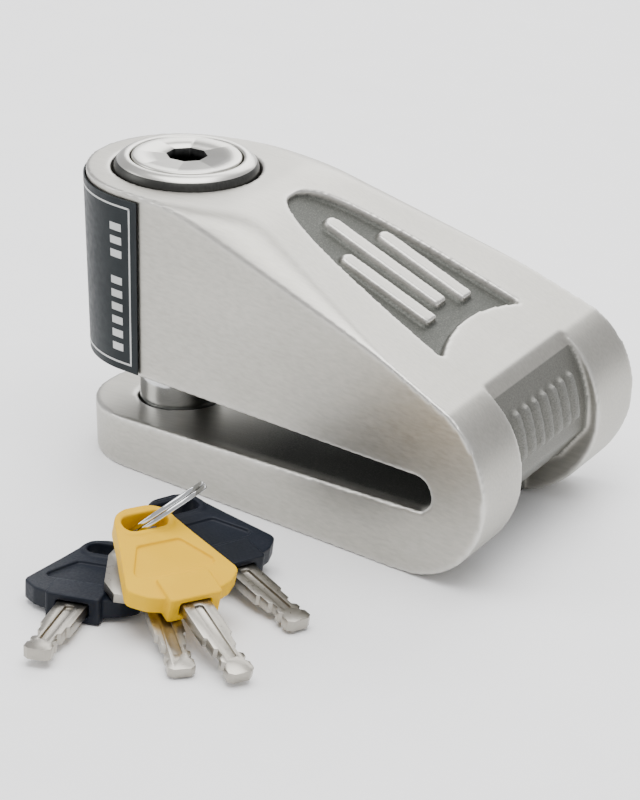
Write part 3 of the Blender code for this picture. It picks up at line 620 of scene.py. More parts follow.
class Finishes:
    """Every finish of the lock, made once and handed out by the record's slot name."""

    def __init__(self) -> None:
        """Makes each material."""
        self.body = BodySteel().make()
        self.by_slot = {
            "satin_steel": self.body,
            "polished_steel": TurnedMetal(
                "polished_barrel_steel", (0.62, 0.61, 0.57), (0.53, 0.52, 0.48), (0.27, 0.35)
            ).make(),
            "hard_chrome": TurnedMetal(
                "hard_chrome_plate", (0.62, 0.63, 0.63), (0.50, 0.51, 0.51), (0.06, 0.14)
            ).make(),
            "spring_steel": WorkedMetal(
                "drawn_spring_steel", (0.44, 0.44, 0.44), (0.28, 0.28, 0.29), (0.28, 0.42), Grain.CAST
            ).make(),
            "brass": WorkedMetal(
                "stamped_brass", (0.80, 0.60, 0.28), (0.62, 0.43, 0.16), (0.24, 0.4), Grain.CAST
            ).make(),
            "nickel": WorkedMetal(
                "nickel_plate", (0.40, 0.38, 0.335), (0.345, 0.325, 0.285), (0.27, 0.34), Grain.CAST, 0.000002
            ).make(),
            "black_rubber": Moulded(
                "seal_rubber", (0.022, 0.022, 0.022), (0.012, 0.012, 0.012), (0.55, 0.75)
            ).make(),
            "black_sticker": Moulded(
                "sticker_film", (0.012, 0.016, 0.018), (0.007, 0.010, 0.012), (0.38, 0.5), 900.0, 0.00001, gloss=0.14
            ).make(),
            "black_plastic": Moulded(
                "black_key_plastic", (0.008, 0.011, 0.019), (0.004, 0.006, 0.011), (0.4, 0.55), gloss=0.2
            ).make(),
            "yellow_plastic": Moulded(
                "yellow_key_plastic", (0.80, 0.47, 0.001), (0.73, 0.41, 0.001), (0.42, 0.55), gloss=0.12
            ).make(),
        }
        self.print = Moulded(
            "silver_print", (0.55, 0.56, 0.55), (0.42, 0.43, 0.42), (0.25, 0.4), 1500.0, 0.000005
        ).make()
        # painted shade: near-black steel for the keyhole's walls and for the anti-drill disc seen down it
        self.keyhole_shade = WorkedMetal(
            "keyhole_shade_steel", (0.030, 0.030, 0.030), (0.010, 0.010, 0.010), (0.35, 0.55), Grain.CAST
        ).make()
        # painted shade: the barrel's side is dark for the shadowed gap between the barrel and the bore
        self.barrel_side_shade = WorkedMetal(
            "barrel_side_painted_shade", (0.085, 0.085, 0.08), (0.05, 0.05, 0.047), (0.34, 0.48), Grain.UPRIGHT
        ).make()
        self.backdrop = Moulded(
            "studio_floor", (0.97, 0.97, 0.97), (0.95, 0.95, 0.95), (0.6, 0.7), 20.0, 0.0, 0.0
        ).make()


def dress(
    made: Piece, finishes: Finishes, slot: str, body: str, *nodes: str,
    material: bpy.types.Material | None = None,
) -> Piece:
    """Gives a piece its finish, its slot and its body, and hides the nodes it stands for.

    Args:
        made: The finished piece.
        finishes: The materials.
        slot: The record's slot name.
        body: The CAD body that it moves with.
        nodes: The CAD nodes that it replaces.
        material: A finish other than the slot's own.

    Returns:
        The same piece.
    """
    made.data.materials.clear()
    made.data.materials.append(material or finishes.by_slot[slot])
    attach(made, body)
    if nodes:
        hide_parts(*nodes)
    LOG.info("%s rides on %s with %d faces", made.name, body, len(made.data.polygons))
    return made


# ---------------------------------------------------------------- body
@dataclass
class LockBody:
    """The one-piece steel body and its sticker."""

    height: float
    nose_x: float
    bore_radius: float
    bore_floor: float
    column_wall: float = 4.1 * MM
    column_draft: float = 2.5 * MM
    flank_taper: float = 0.176
    nose_radius: float = 16.2 * MM
    deck_start: float = 19.3 * MM
    deck_nose_height: float = 26.44 * MM
    crease_start: float = 6.8 * MM
    crease_nose_height: float = 28.04 * MM
    shoulder_width: float = 13.1 * MM
    deck_blend: float = 2.0 * MM
    slot_ceiling: float = 17.6 * MM
    slot_floor: float = 9.1 * MM
    slot_slope: float = 0.042
    slot_set_back: float = 10.2 * MM
    web_half_width: float = 14.0 * MM
    web_radius: float = 19.9 * MM
    web_set_back: float = 2.3 * MM
    web_low: float = 14.3 * MM
    undercut_set_back: float = 6.7 * MM
    undercut_reach: float = 12.7 * MM
    undercut_high: float = 8.5 * MM
    undercut_low: float = 5.5 * MM
    rib_count: int = 7
    rib_pitch: float = 3.2 * MM
    rib_half_width: float = 0.6 * MM
    rib_proud: float = 0.9 * MM
    rib_foot_gap: float = 3.2 * MM
    rib_head_gap: float = 1.44 * MM
    pocket_half_width: float = 13.9 * MM
    pocket_depth: float = 1.3 * MM
    bar_pitch: float = 6.2 * MM
    bar_half_width: float = 1.6 * MM
    middle_bar_gaps: Span = (6.2 * MM, 7.2 * MM)
    outer_bar_gaps: Span = (12.7 * MM, 5.7 * MM)
    keeper_half_width: float = 2.8 * MM
    pin_way_radius: float = 7.3 * MM
    pin_socket_floor: float = 4.3 * MM
    cell: float = 0.37 * MM
    smoothing: int = 6
    kept_share: float = 0.44
    wear_passes: int = 3
    full_wear: float = 0.035 * MM
    label_start: float = 88.0
    label_end: float = 273.0

    def __post_init__(self) -> None:
        """Works out the deck's and the crease's slopes."""
        self.top_radius = self.bore_radius + self.column_wall
        self.deck_slope = (self.height - self.deck_nose_height) / (self.nose_x - self.deck_start)
        self.crease_slope = (self.height - self.crease_nose_height) / (self.nose_x - self.crease_start)
        self.nose_centre = (self.nose_x - self.nose_radius, self.nose_radius)
        self.fade_x = (self.deck_slope * self.deck_start - self.crease_slope * self.crease_start) / (
            self.deck_slope - self.crease_slope
        )
        self.pocket_tip = self.deck_start + 1.0 * MM
        self.pocket_end = self.nose_x - 15.0 * MM

    def column_radius(self, z: float) -> float:
        """The column's drafted radius at a height."""
        return self.top_radius - self.column_draft * (1 - z / self.height)

    def flank(self, x: float, z: float) -> float:
        """The flank's distance from the middle plane."""
        return self.column_radius(z) * math.hypot(1, self.flank_taper) + self.flank_taper * x

    def deck_line(self, x: float) -> float:
        """The deck's height on the middle plane."""
        return self.height - self.deck_slope * (x - self.deck_start)

    def deck_height(self, x: float, y: float) -> float:
        """The height of the upper surface, with its soft shoulder.

        Args:
            x: How far forward the point is.
            y: How far to the side it is.

        Returns:
            The height there.
        """
        fade = (self.fade_x - x) / self.fade_x
        crease = self.height - self.crease_slope * (x - self.crease_start)
        drop = max(0.0, self.deck_line(x) - crease)
        inward = self.flank(x, self.height) - abs(y)
        width = max(self.shoulder_width * fade, 0.01 * MM)
        raw = self.deck_line(x) - drop * max(0.0, 1 - inward / width) ** 2
        overlap = max(self.deck_blend - abs(raw - self.height), 0) / self.deck_blend
        return min(raw, self.height) - overlap**2 * self.deck_blend / 4

    def web_x(self, z: float, proud: float = 0.0) -> float:
        """How far forward the web's face is at a height."""
        middle = self.nose_x - self.web_set_back - self.web_radius
        return middle + math.sqrt((self.web_radius + proud) ** 2 - (z - self.nose_centre[1]) ** 2)

    def blank(self) -> Mesh:
        """The drafted wedge: the foot's plan, extruded and widened towards the top.

        Returns:
            A closed mesh.
        """
        lean = math.atan(self.flank_taper)
        top = self.height + 2 * MM
        reach = self.nose_x + 1 * MM
        rear = circle_part((0, 0), self.column_radius(0), math.pi / 2 + lean, 3 * math.pi / 2 - lean, 96)
        ends = [(reach, -self.flank(reach, 0)), (reach, self.flank(reach, 0))]
        bm = prism(rear + ends, 0.0, top)
        swell = self.column_radius(top) / self.column_radius(0)
        widen = self.flank(0, top) - self.flank(0, 0)
        for vert in bm.verts:
            if vert.co.z > top / 2:
                if vert.co.x < reach / 2:
                    vert.co.xy = vert.co.xy * swell
                else:
                    vert.co.y += math.copysign(widen, vert.co.y)
        return bm

    def over_deck(self) -> Mesh:
        """All that lies above the upper surface: a grid bent to it and extruded upwards.

        Returns:
            The tool's closed mesh.
        """
        rear_x, front_x, half_width = -22 * MM, self.nose_x + 6 * MM, 34 * MM
        bm = bmesh.new()
        bmesh.ops.create_grid(bm, x_segments=110, y_segments=90, size=0.5)
        for vert in bm.verts:
            x = rear_x + (front_x - rear_x) * (vert.co.x + 0.5)
            y = 2 * half_width * vert.co.y
            vert.co = (x, y, self.deck_height(x, y))
        raised = bmesh.ops.extrude_face_region(bm, geom=bm.faces[:])["geom"]
        for vert in raised:
            if isinstance(vert, bmesh.types.BMVert):
                vert.co.z = self.height + 12 * MM
        bmesh.ops.recalc_face_normals(bm, faces=bm.faces)
        return bm

    def before_nose(self) -> Mesh:
        """What lies in front of the nose's round profile.

        Returns:
            The tool's closed mesh.
        """
        over, top = self.nose_x + 15 * MM, self.height + 9 * MM
        profile = circle_part(self.nose_centre, self.nose_radius, 75 * DEG, -90 * DEG, 64)
        low = -5 * MM
        tail = [(self.nose_centre[0], low), (over, low), (over, top), (profile[0][0], top)]
        return side_prism(profile + tail, 40 * MM)

    def lobe_gap(self) -> Mesh:
        """The recess between the nose's lobes, with the undercut beneath the web.

        Returns:
            The tool's closed mesh.
        """
        top, steps, below = self.nose_centre[1] + 0.8 * self.web_radius, 40, -3 * MM
        face = [(self.web_x(top), self.height)]
        face += [(self.web_x(z), z) for z in (top + (self.web_low - top) * n / steps for n in range(steps + 1))]
        front = self.nose_x + 9 * MM
        under = [
            (self.nose_x - self.undercut_set_back, self.undercut_high),
            (self.nose_x - self.undercut_reach, self.undercut_low),
            (self.nose_x - self.undercut_reach, below),
        ]
        return side_prism(face + under + [(front, below), (front, self.height)], self.web_half_width)

    def disc_slot(self) -> Mesh:
        """The slot for the brake disc, open at the rear and at both flanks.

        Returns:
            The tool's closed mesh.
        """
        rear, end = -30 * MM, self.nose_x - self.slot_set_back
        radius = (self.slot_ceiling - self.slot_floor - self.slot_slope * end) / 2
        middle = (end - radius, self.slot_ceiling - radius)
        round_end = circle_part(middle, radius, math.pi / 2, -math.pi / 2, 24)
        floor = self.slot_floor + self.slot_slope * rear
        return side_prism([(rear, self.slot_ceiling)] + round_end + [(rear, floor)], 45 * MM)

    def on_deck(self, bm: Mesh) -> Mesh:
        """Lays a shape whose X runs down the deck from the pocket's tip onto the deck.

        Args:
            bm: The shape to lay down.

        Returns:
            The same shape.
        """
        seat = Matrix.Translation((self.pocket_tip, 0, self.deck_line(self.pocket_tip)))
        tilt = Matrix.Rotation(math.atan(self.deck_slope), 4, "Y")
        bmesh.ops.transform(bm, matrix=seat @ tilt, verts=bm.verts)
        return bm

    def pocket(self) -> Mesh:
        """The tongue-shaped recess in the deck.

        Returns:
            The tool's closed mesh.
        """
        stretch = math.hypot(1, self.deck_slope)
        length = (self.pocket_end - self.pocket_tip) * stretch
        steps, bow = 40, 3.2 * MM
        crowding, flare = 2.2, 0.38
        stations = [length * (n / steps) ** crowding for n in range(steps + 1)]
        right = [(x, self.pocket_half_width * (x / length) ** flare) for x in stations]
        across = [self.pocket_half_width * (1 - n / 12) for n in range(1, 24)]
        end = [(length - bow * (1 - (y / self.pocket_half_width) ** 2), y) for y in across]
        left = [(x, -y) for x, y in reversed(right[1:])]
        return self.on_deck(prism(right + end + left, -self.pocket_depth, 6 * MM))

    def deck_bar(self, side: int) -> Mesh:
        """One of the three raised bars in the pocket.

        Args:
            side: 0 for the middle bar, 1 or -1 for the outer ones.

        Returns:
            The bar's closed mesh.
        """
        after_tip, before_end = self.outer_bar_gaps if side else self.middle_bar_gaps
        stretch = math.hypot(1, self.deck_slope)
        low = after_tip * stretch
        high = (self.pocket_end - before_end - self.pocket_tip) * stretch
        y, half = side * self.bar_pitch, self.bar_half_width
        blunt, square = 1.4 * MM, 0.5 * MM
        corners = [(low, y - half, blunt), (high, y - half, square)]
        corners += [(high, y + half, square), (low, y + half, blunt)]
        below_floor, under_deck = 1 * MM, 0.05 * MM
        return self.on_deck(prism(rounded(corners), -self.pocket_depth - below_floor, -under_deck))

    def web_rib(self, n: int) -> Mesh:
        """One of the web's upright ribs.

        Args:
            n: Which rib it is, from 0.

        Returns:
            The rib's closed mesh.
        """
        low, high = self.web_low + self.rib_foot_gap, self.deck_nose_height - self.rib_head_gap
        heights = [low + (high - low) * k / 8 for k in range(9)]
        front = [(self.web_x(z, self.rib_proud), z) for z in heights]
        back = [(self.web_x(z) - 2 * MM, z) for z in (high, low)]
        bm = side_prism(front + back, self.rib_half_width)
        across = (n - (self.rib_count - 1) / 2) * self.rib_pitch
        bmesh.ops.translate(bm, vec=(0, across, 0), verts=bm.verts)
        return bm

    def holes(self) -> list[Mesh]:
        """The bore, the pin's way through the slot's ceiling and its socket in the lower jaw.

        Returns:
            The tools' closed meshes.
        """
        above = self.height + 9 * MM
        spans = (
            (self.bore_radius, self.bore_floor, above),
            (self.pin_way_radius, self.slot_ceiling - 2 * MM, self.bore_floor + 1 * MM),
            (self.pin_way_radius, self.pin_socket_floor, self.slot_floor + 4 * MM),
        )
        rods = [turned([(0, low), (r, low), (r, high), (0, high)], 128) for r, low, high in spans]
        return rods + [self.keeper(), self.screw_hole()]

    def keeper(self) -> Mesh:
        """The tapered groove in the bore's wall that holds the latch.

        Returns:
            The tool's closed mesh.
        """
        latch_low, latch_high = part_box("latch_bolt")
        deep, shallow = latch_high.x + 0.4 * MM, self.bore_radius - 0.2 * MM
        rise = travel("pin_release") * (deep - shallow) / travel("latch_draw")
        low, high, inside = latch_low.z - 0.3 * MM, latch_high.z + 0.4 * MM, self.bore_radius - 2 * MM
        profile = [(inside, low), (deep, low), (deep, high), (shallow, high + rise), (inside, high + rise)]
        return side_prism(profile, self.keeper_half_width)

    def screw_hole(self) -> Mesh:
        """The grub screw's hole through the column's rear wall.

        Returns:
            The tool's closed mesh.
        """
        low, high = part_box("guide_screw")
        radius, middle = (high.z - low.z) / 2 + 0.3 * MM, (high.z + low.z) / 2
        near, far = self.bore_radius - 1 * MM, self.top_radius + 3 * MM
        bm = turned([(0, near), (radius, near), (radius, far), (0, far)], 48)
        bmesh.ops.rotate(bm, cent=(0, 0, 0), matrix=Matrix.Rotation(-90 * DEG, 3, "Y"), verts=bm.verts)
        bmesh.ops.translate(bm, vec=(0, 0, middle), verts=bm.verts)
        return bm

    def wear(self, mesh: bpy.types.Mesh, places: np.ndarray) -> np.ndarray:
        """How convex the surface is at each vertex, from 0 on the flat to 1 on an edge.

        Args:
            mesh: The body's mesh.
            places: Its vertices, one row each.

        Returns:
            One value for each vertex.
        """
        count = len(places)
        normal, ends = np.zeros(count * 3), np.zeros(len(mesh.edges) * 2, int)
        mesh.vertex_normals.foreach_get("vector", normal)
        mesh.edges.foreach_get("vertices", ends)
        normal, ends = normal.reshape(-1, 3), ends.reshape(-1, 2)
        total, degree = np.zeros((count, 3)), np.zeros(count)
        for one, other in BOTH_WAYS:
            np.add.at(total, ends[:, one], places[ends[:, other]])
            np.add.at(degree, ends[:, one], 1)
        bulge = ((places - total / degree[:, None]) * normal).sum(axis=1)
        for _ in range(self.wear_passes):
            spread = np.zeros(count)
            for one, other in BOTH_WAYS:
                np.add.at(spread, ends[:, one], bulge[ends[:, other]])
            bulge = (bulge + spread / degree) / 2
        return np.clip(bulge / self.full_wear, 0, 1)

    def recessed(self, places: np.ndarray) -> np.ndarray:
        """How far each vertex lies in the pocket, the web's recess or the slot, which darkens it: the pocket's
        blasted floor, and painted shade inside the slot.

        Args:
            places: The vertices, one row each.

        Returns:
            One value for each vertex, from 0 on the outside to 1.
        """
        x, y, z = places.T
        below = (self.height - self.deck_slope * (x - self.deck_start) - z) / math.hypot(1, self.deck_slope)
        in_pocket = (x > self.pocket_tip - 1 * MM) & (x < self.pocket_end + 1 * MM)
        in_pocket &= (np.abs(y) < self.pocket_half_width + 0.6 * MM) & (below < 3 * MM)
        wall_top, wall_share = 0.45, 0.35
        floor = np.clip((below / self.pocket_depth - wall_top) / wall_share, 0, 1) * in_pocket
        web_share = 0.75
        in_web = (np.abs(y) < self.web_half_width - 0.15 * MM) & (x > self.nose_x - 14 * MM)
        in_web &= (z < self.deck_nose_height + 1.5 * MM) & (z < self.nose_centre[1] + 13 * MM)
        # painted shade inside the disc slot: full on the ceiling and the end, fading in from the flanks, and on the
        # floor growing from the pin's side towards the slot's end
        between = (z > self.slot_floor - 0.5 * MM) & (z < self.slot_ceiling + 0.3 * MM)
        inside = between & (x < self.nose_x - self.slot_set_back + 0.3 * MM)
        from_flank = self.column_radius(0) + self.flank_taper * x - np.abs(y)
        on_floor = z < self.slot_floor + self.slot_slope * x + 1 * MM
        depth = np.where(on_floor, np.clip((x - 6 * MM) / (22 * MM), 0, 1), 1.0)
        depth = depth * np.clip((from_flank - 0.6 * MM) / (1.6 * MM), 0, 1)
        return np.maximum(np.maximum(floor, web_share * in_web), inside * depth)

    def paint(self, made: Piece) -> None:
        """Paints how recessed and how worn the surface is at each vertex; the recess value carries painted shade for
        the slot.

        Args:
            made: The body.
        """
        mesh = made.data
        places = np.zeros(len(mesh.vertices) * 3)
        mesh.vertices.foreach_get("co", places)
        places = places.reshape(-1, 3)
        for name, values in (("recess", self.recessed(places)), ("edge", self.wear(mesh, places))):
            mesh.attributes.new(name, "FLOAT", "POINT").data.foreach_set("value", values.astype(np.float32))

    def build(self) -> Piece:
        """Carves the body out of its blank and softens it.

        Returns:
            The finished body.
        """
        made = piece("body_shell", self.blank())
        steps = [(Cut.AWAY, bm) for bm in (self.over_deck(), self.before_nose(), self.lobe_gap())]
        steps += [(Cut.AWAY, self.disc_slot()), (Cut.AWAY, self.pocket())]
        steps += [(Cut.ADD, self.deck_bar(side)) for side in (0, 1, -1)]
        steps += [(Cut.ADD, self.web_rib(n)) for n in range(self.rib_count)]
        steps += [(Cut.AWAY, bm) for bm in self.holes()]
        shape_with(made, steps)
        soften(made, self.cell, self.smoothing, self.kept_share)
        self.paint(made)
        return made

    def band(self, low: float, high: float, start: float, end: float, inner: float, outer: float) -> Mesh:
        """A thin curved patch on the column.

        Args:
            low: Its lower edge's height.
            high: Its upper edge's height.
            start: Where it starts round the column, in degrees.
            end: Where it ends.
            inner: Its inner face's distance from the column.
            outer: Its outer face's distance.

        Returns:
            The patch as a closed mesh.
        """
        corners = [(low, inner), (low, outer), (high, outer), (high, inner)]
        profile = [(self.column_radius(z) + lift, z) for z, lift in corners]
        steps = max(2, round((end - start) / 2))
        bm = turned(profile, steps, (end - start) * DEG, start * DEG)
        round_part = math.pi / 2 - math.atan(self.flank_taper)
        for vert in bm.verts:
            past = math.acos(-vert.co.x / vert.co.xy.length) - round_part
            if past > 0:
                vert.co.xy = vert.co.xy / math.cos(past)
        return bm

    def label(self) -> Piece:
        """The sticker's film.

        Returns:
            The film.
        """
        low, high = self.slot_ceiling + 0.5 * MM, self.height - 1.2 * MM
        inner, outer = 0.25 * MM, 0.5 * MM
        return piece("label_film", self.band(low, high, self.label_start, self.label_end, inner, outer))

    def label_print(self) -> Piece:
        """The sticker's border line and a plain row of strokes.

        Returns:
            The print, as one piece.
        """
        low, high = self.slot_ceiling + 1.7 * MM, self.height - 2.4 * MM
        line, inner, outer = 0.32 * MM, 0.49 * MM, 0.53 * MM
        border = 4.5
        near, far, turn = self.label_end - border, self.label_start + border, line / self.top_radius / DEG
        spans = [(low, low + line, far, near), (high - line, high, far, near)]
        spans += [(low, high, far, far + turn), (low, high, near - turn, near)]
        strokes, gap_after, margin = 10, 6, 2.2 * MM
        inked, stroke_start, stroke_end = 0.55, near - 15.0, near - 6.5
        pitch = (high - low - 2 * margin) / strokes
        for n in range(strokes):
            foot = low + margin + n * pitch
            if n != gap_after:
                spans.append((foot, foot + pitch * inked, stroke_start, stroke_end))
        joined = bmesh.new()
        for span in spans:
            patch = self.band(*span, inner, outer)
            spare = bpy.data.meshes.new("patch")
            patch.to_mesh(spare)
            patch.free()
            joined.from_mesh(spare)
            bpy.data.meshes.remove(spare)
        return piece("label_print", joined)

    def make(self, finishes: Finishes) -> None:
        """Builds and dresses the body and its sticker.

        Args:
            finishes: The materials.
        """
        dress(self.build(), finishes, "satin_steel", "lock", "lock_body")
        dress(self.label(), finishes, "black_sticker", "lock", "label")
        dress(self.label_print(), finishes, "black_sticker", "lock", material=finishes.print)


# ---------------------------------------------------------------- barrel, plug and pin
@dataclass
class Barrel:
    """The sliding barrel with its locking pin and seal."""

    radius: float
    top: float
    bottom: float
    plug_radius: float
    seal_height: float
    pin_tip: float
    head_radius: float
    head_top: float
    chamber_top: float
    rim_round: float = 2.3 * MM
    pin_radius: float = 7.0 * MM
    gap: float = 0.3 * MM
    core_radius: float = 7.6 * MM
    seal_radius: float = 0.8 * MM
    plug_face: float = 3.0 * MM
    lip_round: float = 0.35 * MM
    latch_way_half: float = 2.8 * MM
    # how far down from the top the barrel's side stays polished; below it the side is painted shade
    unshaded_end_height: float = 0.95 * MM

    def sleeve(self) -> Piece:
        """The barrel, turned with a rounded rim, and its cross hole, latch way and guide groove.

        Returns:
            The finished barrel.
        """
        rim_sweep = 1.35
        rim = circle_part(
            (self.radius - self.rim_round, self.top - self.rim_round), self.rim_round, 0, rim_sweep, 14
        )
        groove, chamber = 2 * self.seal_radius + 0.2 * MM, self.head_radius + self.gap
        seat, shoulder = self.radius - groove + 0.1 * MM, self.top - self.plug_face - 2 * self.gap
        lip = self.plug_radius + self.gap
        lip_middle = (lip + self.lip_round, self.top - 0.45 * MM)
        inner_rim = circle_part(lip_middle, self.lip_round, math.pi / 2, math.pi, 5)
        profile = [
            (chamber, self.bottom),
            (self.radius - 0.3 * MM, self.bottom),
            (self.radius, self.bottom + 0.3 * MM),
            (self.radius, self.seal_height - groove / 2),
            (seat, self.seal_height - groove / 2),
            (seat, self.seal_height + groove / 2),
            (self.radius, self.seal_height + groove / 2),
            *rim,
            *inner_rim,
            (lip, shoulder),
            (self.core_radius + self.gap, shoulder),
            (self.core_radius + self.gap, self.chamber_top),
            (chamber, self.chamber_top),
        ]
        made = piece("barrel_sleeve", turned(profile, 160))
        latch_low, latch_high = (corner.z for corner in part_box("latch_bolt"))
        way_low, way_high = latch_low - self.gap / 2, latch_high + self.gap / 2
        half = self.latch_way_half
        way = self.block((1 * MM, -half, way_low), (self.radius + 2 * MM, half, way_high))
        screw_low, screw_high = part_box("guide_screw")
        screw = (screw_low.z + screw_high.z) / 2
        reach = 1.5 * MM
        groove_low = (-self.radius - 1 * MM, -reach, screw - travel("pin_release") - reach)
        track = self.block(groove_low, (-self.radius + 1.3 * MM, reach, screw + reach))
        return shape_with(made, [(Cut.AWAY, way), (Cut.AWAY, track), (Cut.AWAY, self.cross_hole())])

    def cross_hole(self) -> Mesh:
        """The hole for the cross pin, through the barrel and the locking pin's head.

        Returns:
            The tool's closed mesh.
        """
        low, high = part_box("cross_pin")
        radius, reach = (high.z - low.z) / 2 + self.gap, self.radius + 1 * MM
        bm = turned([(0, -reach), (radius, -reach), (radius, reach), (0, reach)], 32)
        bmesh.ops.rotate(bm, cent=(0, 0, 0), matrix=Matrix.Rotation(90 * DEG, 3, "X"), verts=bm.verts)
        bmesh.ops.translate(bm, vec=(0, 0, (low.z + high.z) / 2), verts=bm.verts)
        return bm

    @staticmethod
    def block(low: Point, high: Point) -> Mesh:
        """A box between two corners."""
        outline = [(low[0], low[1]), (high[0], low[1]), (high[0], high[1]), (low[0], high[1])]
        return prism(outline, low[2], high[2])

    def pin(self) -> Piece:
        """The locking pin, with a rounded nose and a head in the barrel.

        Returns:
            The finished pin.
        """
        chamfer = 1.2 * MM
        nose = circle_part((self.pin_radius - chamfer, self.pin_tip + chamfer), chamfer, -math.pi / 2, 0, 8)
        profile = [(0, self.pin_tip), *nose, (self.pin_radius, self.bottom), (self.head_radius, self.bottom)]
        profile += [(self.head_radius, self.head_top), (0, self.head_top)]
        return shape_with(piece("pin_shaft", turned(profile, 96)), [(Cut.AWAY, self.cross_hole())])

    def seal(self) -> Piece:
        """The rubber ring round the barrel.

        Returns:
            The finished ring.
        """
        middle = (self.radius - self.seal_radius - 0.05 * MM, self.seal_height)
        squeezed, sides = 0.92, 16
        section = circle_part(middle, self.seal_radius * squeezed, 0, FULL_TURN * (sides - 1) / sides, sides - 1)
        return piece("seal_rubber_ring", turned(section, 128))

    def make(self, finishes: Finishes) -> None:
        """Builds and dresses the barrel's pieces. Only the barrel's end shows polished steel; its side below is
        painted dark as shade in the gap round it.

        Args:
            finishes: The materials.
        """
        sleeve = dress(self.sleeve(), finishes, "polished_steel", "barrel", "lock_barrel")
        # painted shade: faces on the barrel's side below its end take the dark barrel-side shade
        sleeve.data.materials.append(finishes.barrel_side_shade)
        for face in sleeve.data.polygons:
            middle = face.center
            if middle.xy.length > self.radius - 0.5 * MM and middle.z < self.top - self.unshaded_end_height:
                face.material_index = 1
        dress(self.pin(), finishes, "hard_chrome", "barrel", "locking_pin")
        dress(self.seal(), finishes, "black_rubber", "barrel", "seal_ring")


@dataclass
class Plug:
    """The turning plug with its keyhole."""

    radius: float
    top: float
    bottom: float
    keyhole_radius: float = 3.45 * MM
    core_radius: float = 7.6 * MM
    bore_radius: float = 6.2 * MM
    face: float = 3.0 * MM
    gap: float = 0.3 * MM
    rim_round: float = 0.35 * MM
    side_slot_half: float = 1.05 * MM
    side_slot_floor: float = 5.2 * MM

    def build(self) -> Piece:
        """The plug's face over its slotted core.

        Returns:
            The finished plug.
        """
        rim_middle = (self.radius - self.rim_round, self.top - self.rim_round)
        rim = circle_part(rim_middle, self.rim_round, 0, math.pi / 2, 6)
        under = self.top - self.face
        profile = [
            (0, under),
            (self.bore_radius, under),
            (self.bore_radius, self.bottom),
            (self.core_radius, self.bottom),
            (self.core_radius, under - self.gap),
            (self.radius, under - self.gap),
            *rim,
            (0, self.top),
        ]
        made = piece("plug_core", turned(profile, 128))
        eighth = math.pi / 8
        octagon = circle_part((0, 0), self.keyhole_radius, eighth, eighth + 7 * math.pi / 4, 7)
        keyhole = prism(octagon, under - 1 * MM, self.top + 1 * MM)
        low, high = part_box("sidebar")
        side = Barrel.block(
            (-self.side_slot_half, self.side_slot_floor, low.z - self.gap),
            (self.side_slot_half, self.radius, high.z + self.gap),
        )
        return shape_with(made, [(Cut.AWAY, keyhole), (Cut.AWAY, side)])

    def make(self, finishes: Finishes) -> None:
        """Builds and dresses the plug, whose keyhole walls are painted near-black as shade.

        Args:
            finishes: The materials.
        """
        made = dress(self.build(), finishes, "polished_steel", "plug", "plug")
        # painted shade: the keyhole's inner walls take the near-black keyhole shade
        made.data.materials.append(finishes.keyhole_shade)
        for face in made.data.polygons:
            middle = face.center
            if middle.xy.length < self.keyhole_radius and middle.z < self.top - 0.1 * MM:
                face.material_index = 1


@dataclass
class Springs:
    """The two coil springs, drawn in fine wire."""

    return_wire: float = 0.5 * MM
    return_turns: int = 3
    latch_wire: float = 0.2 * MM
    latch_turns: int = 5

    def make(self, finishes: Finishes) -> None:
        """Builds both springs inside their CAD boxes and dresses them.

        Args:
            finishes: The materials.
        """
        low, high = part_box("return_spring")
        wire = self.return_wire
        coil = helix((high.x - low.x) / 2 - wire, wire, high.z - low.z - 2 * wire, self.return_turns, 12)
        place = Matrix.Translation((0, 0, low.z + wire))
        dress(piece("return_coil", coil, place), finishes, "spring_steel", "lock", "return_spring")
        low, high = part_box("latch_spring")
        wire, middle = self.latch_wire, (low + high) / 2
        coil = helix((high.z - low.z) / 2 - wire, wire, high.x - low.x - 2 * wire, self.latch_turns, 8)
        place = Matrix.Translation((low.x + wire, middle.y, middle.z)) @ Matrix.Rotation(90 * DEG, 4, "Y")
        small = piece("latch_coil", coil, place)
        dress(small, finishes, "spring_steel", "barrel", "latch_spring")
        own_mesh(small)


# ---------------------------------------------------------------- keys
@dataclass
class Lie:
    """How a flat CAD solid lies, read from its corners."""

    node: str

    def __post_init__(self) -> None:
        """Finds the solid's own three directions, the longest first."""
        raw = np.array([v.co for v in frame["nodes"][self.node].data.vertices])
        corners = np.unique(np.round(raw, 6), axis=0)
        self.middle = Vector(corners.mean(axis=0))
        self.corners = [Vector(corner) for corner in corners]
        axes = np.linalg.svd(corners - corners.mean(axis=0))[2]
        self.along, self.out = Vector(axes[0]), Vector(axes[2])
        if self.out.z < 0:
            self.out = -self.out

    def reach(self, way: Vector) -> float:
        """How far the solid reaches in a direction."""
        return max(way.dot(corner) for corner in self.corners)

    def place(self, from_tip: float) -> Matrix:
        """A frame with X along the solid, Z out of its flat side, and its origin behind the tip.

        Args:
            from_tip: How far behind the tip the origin is.

        Returns:
            The frame's matrix.
        """
        across = self.out.cross(self.along)
        turn = Matrix((self.along, across, self.out)).transposed()
        middles = [(self.reach(way) - self.reach(-way)) / 2 for way in (across, self.out)]
        seat = self.along * (self.reach(self.along) - from_tip) + across * middles[0] + self.out * middles[1]
        return Matrix.Translation(seat) @ turn.to_4x4()


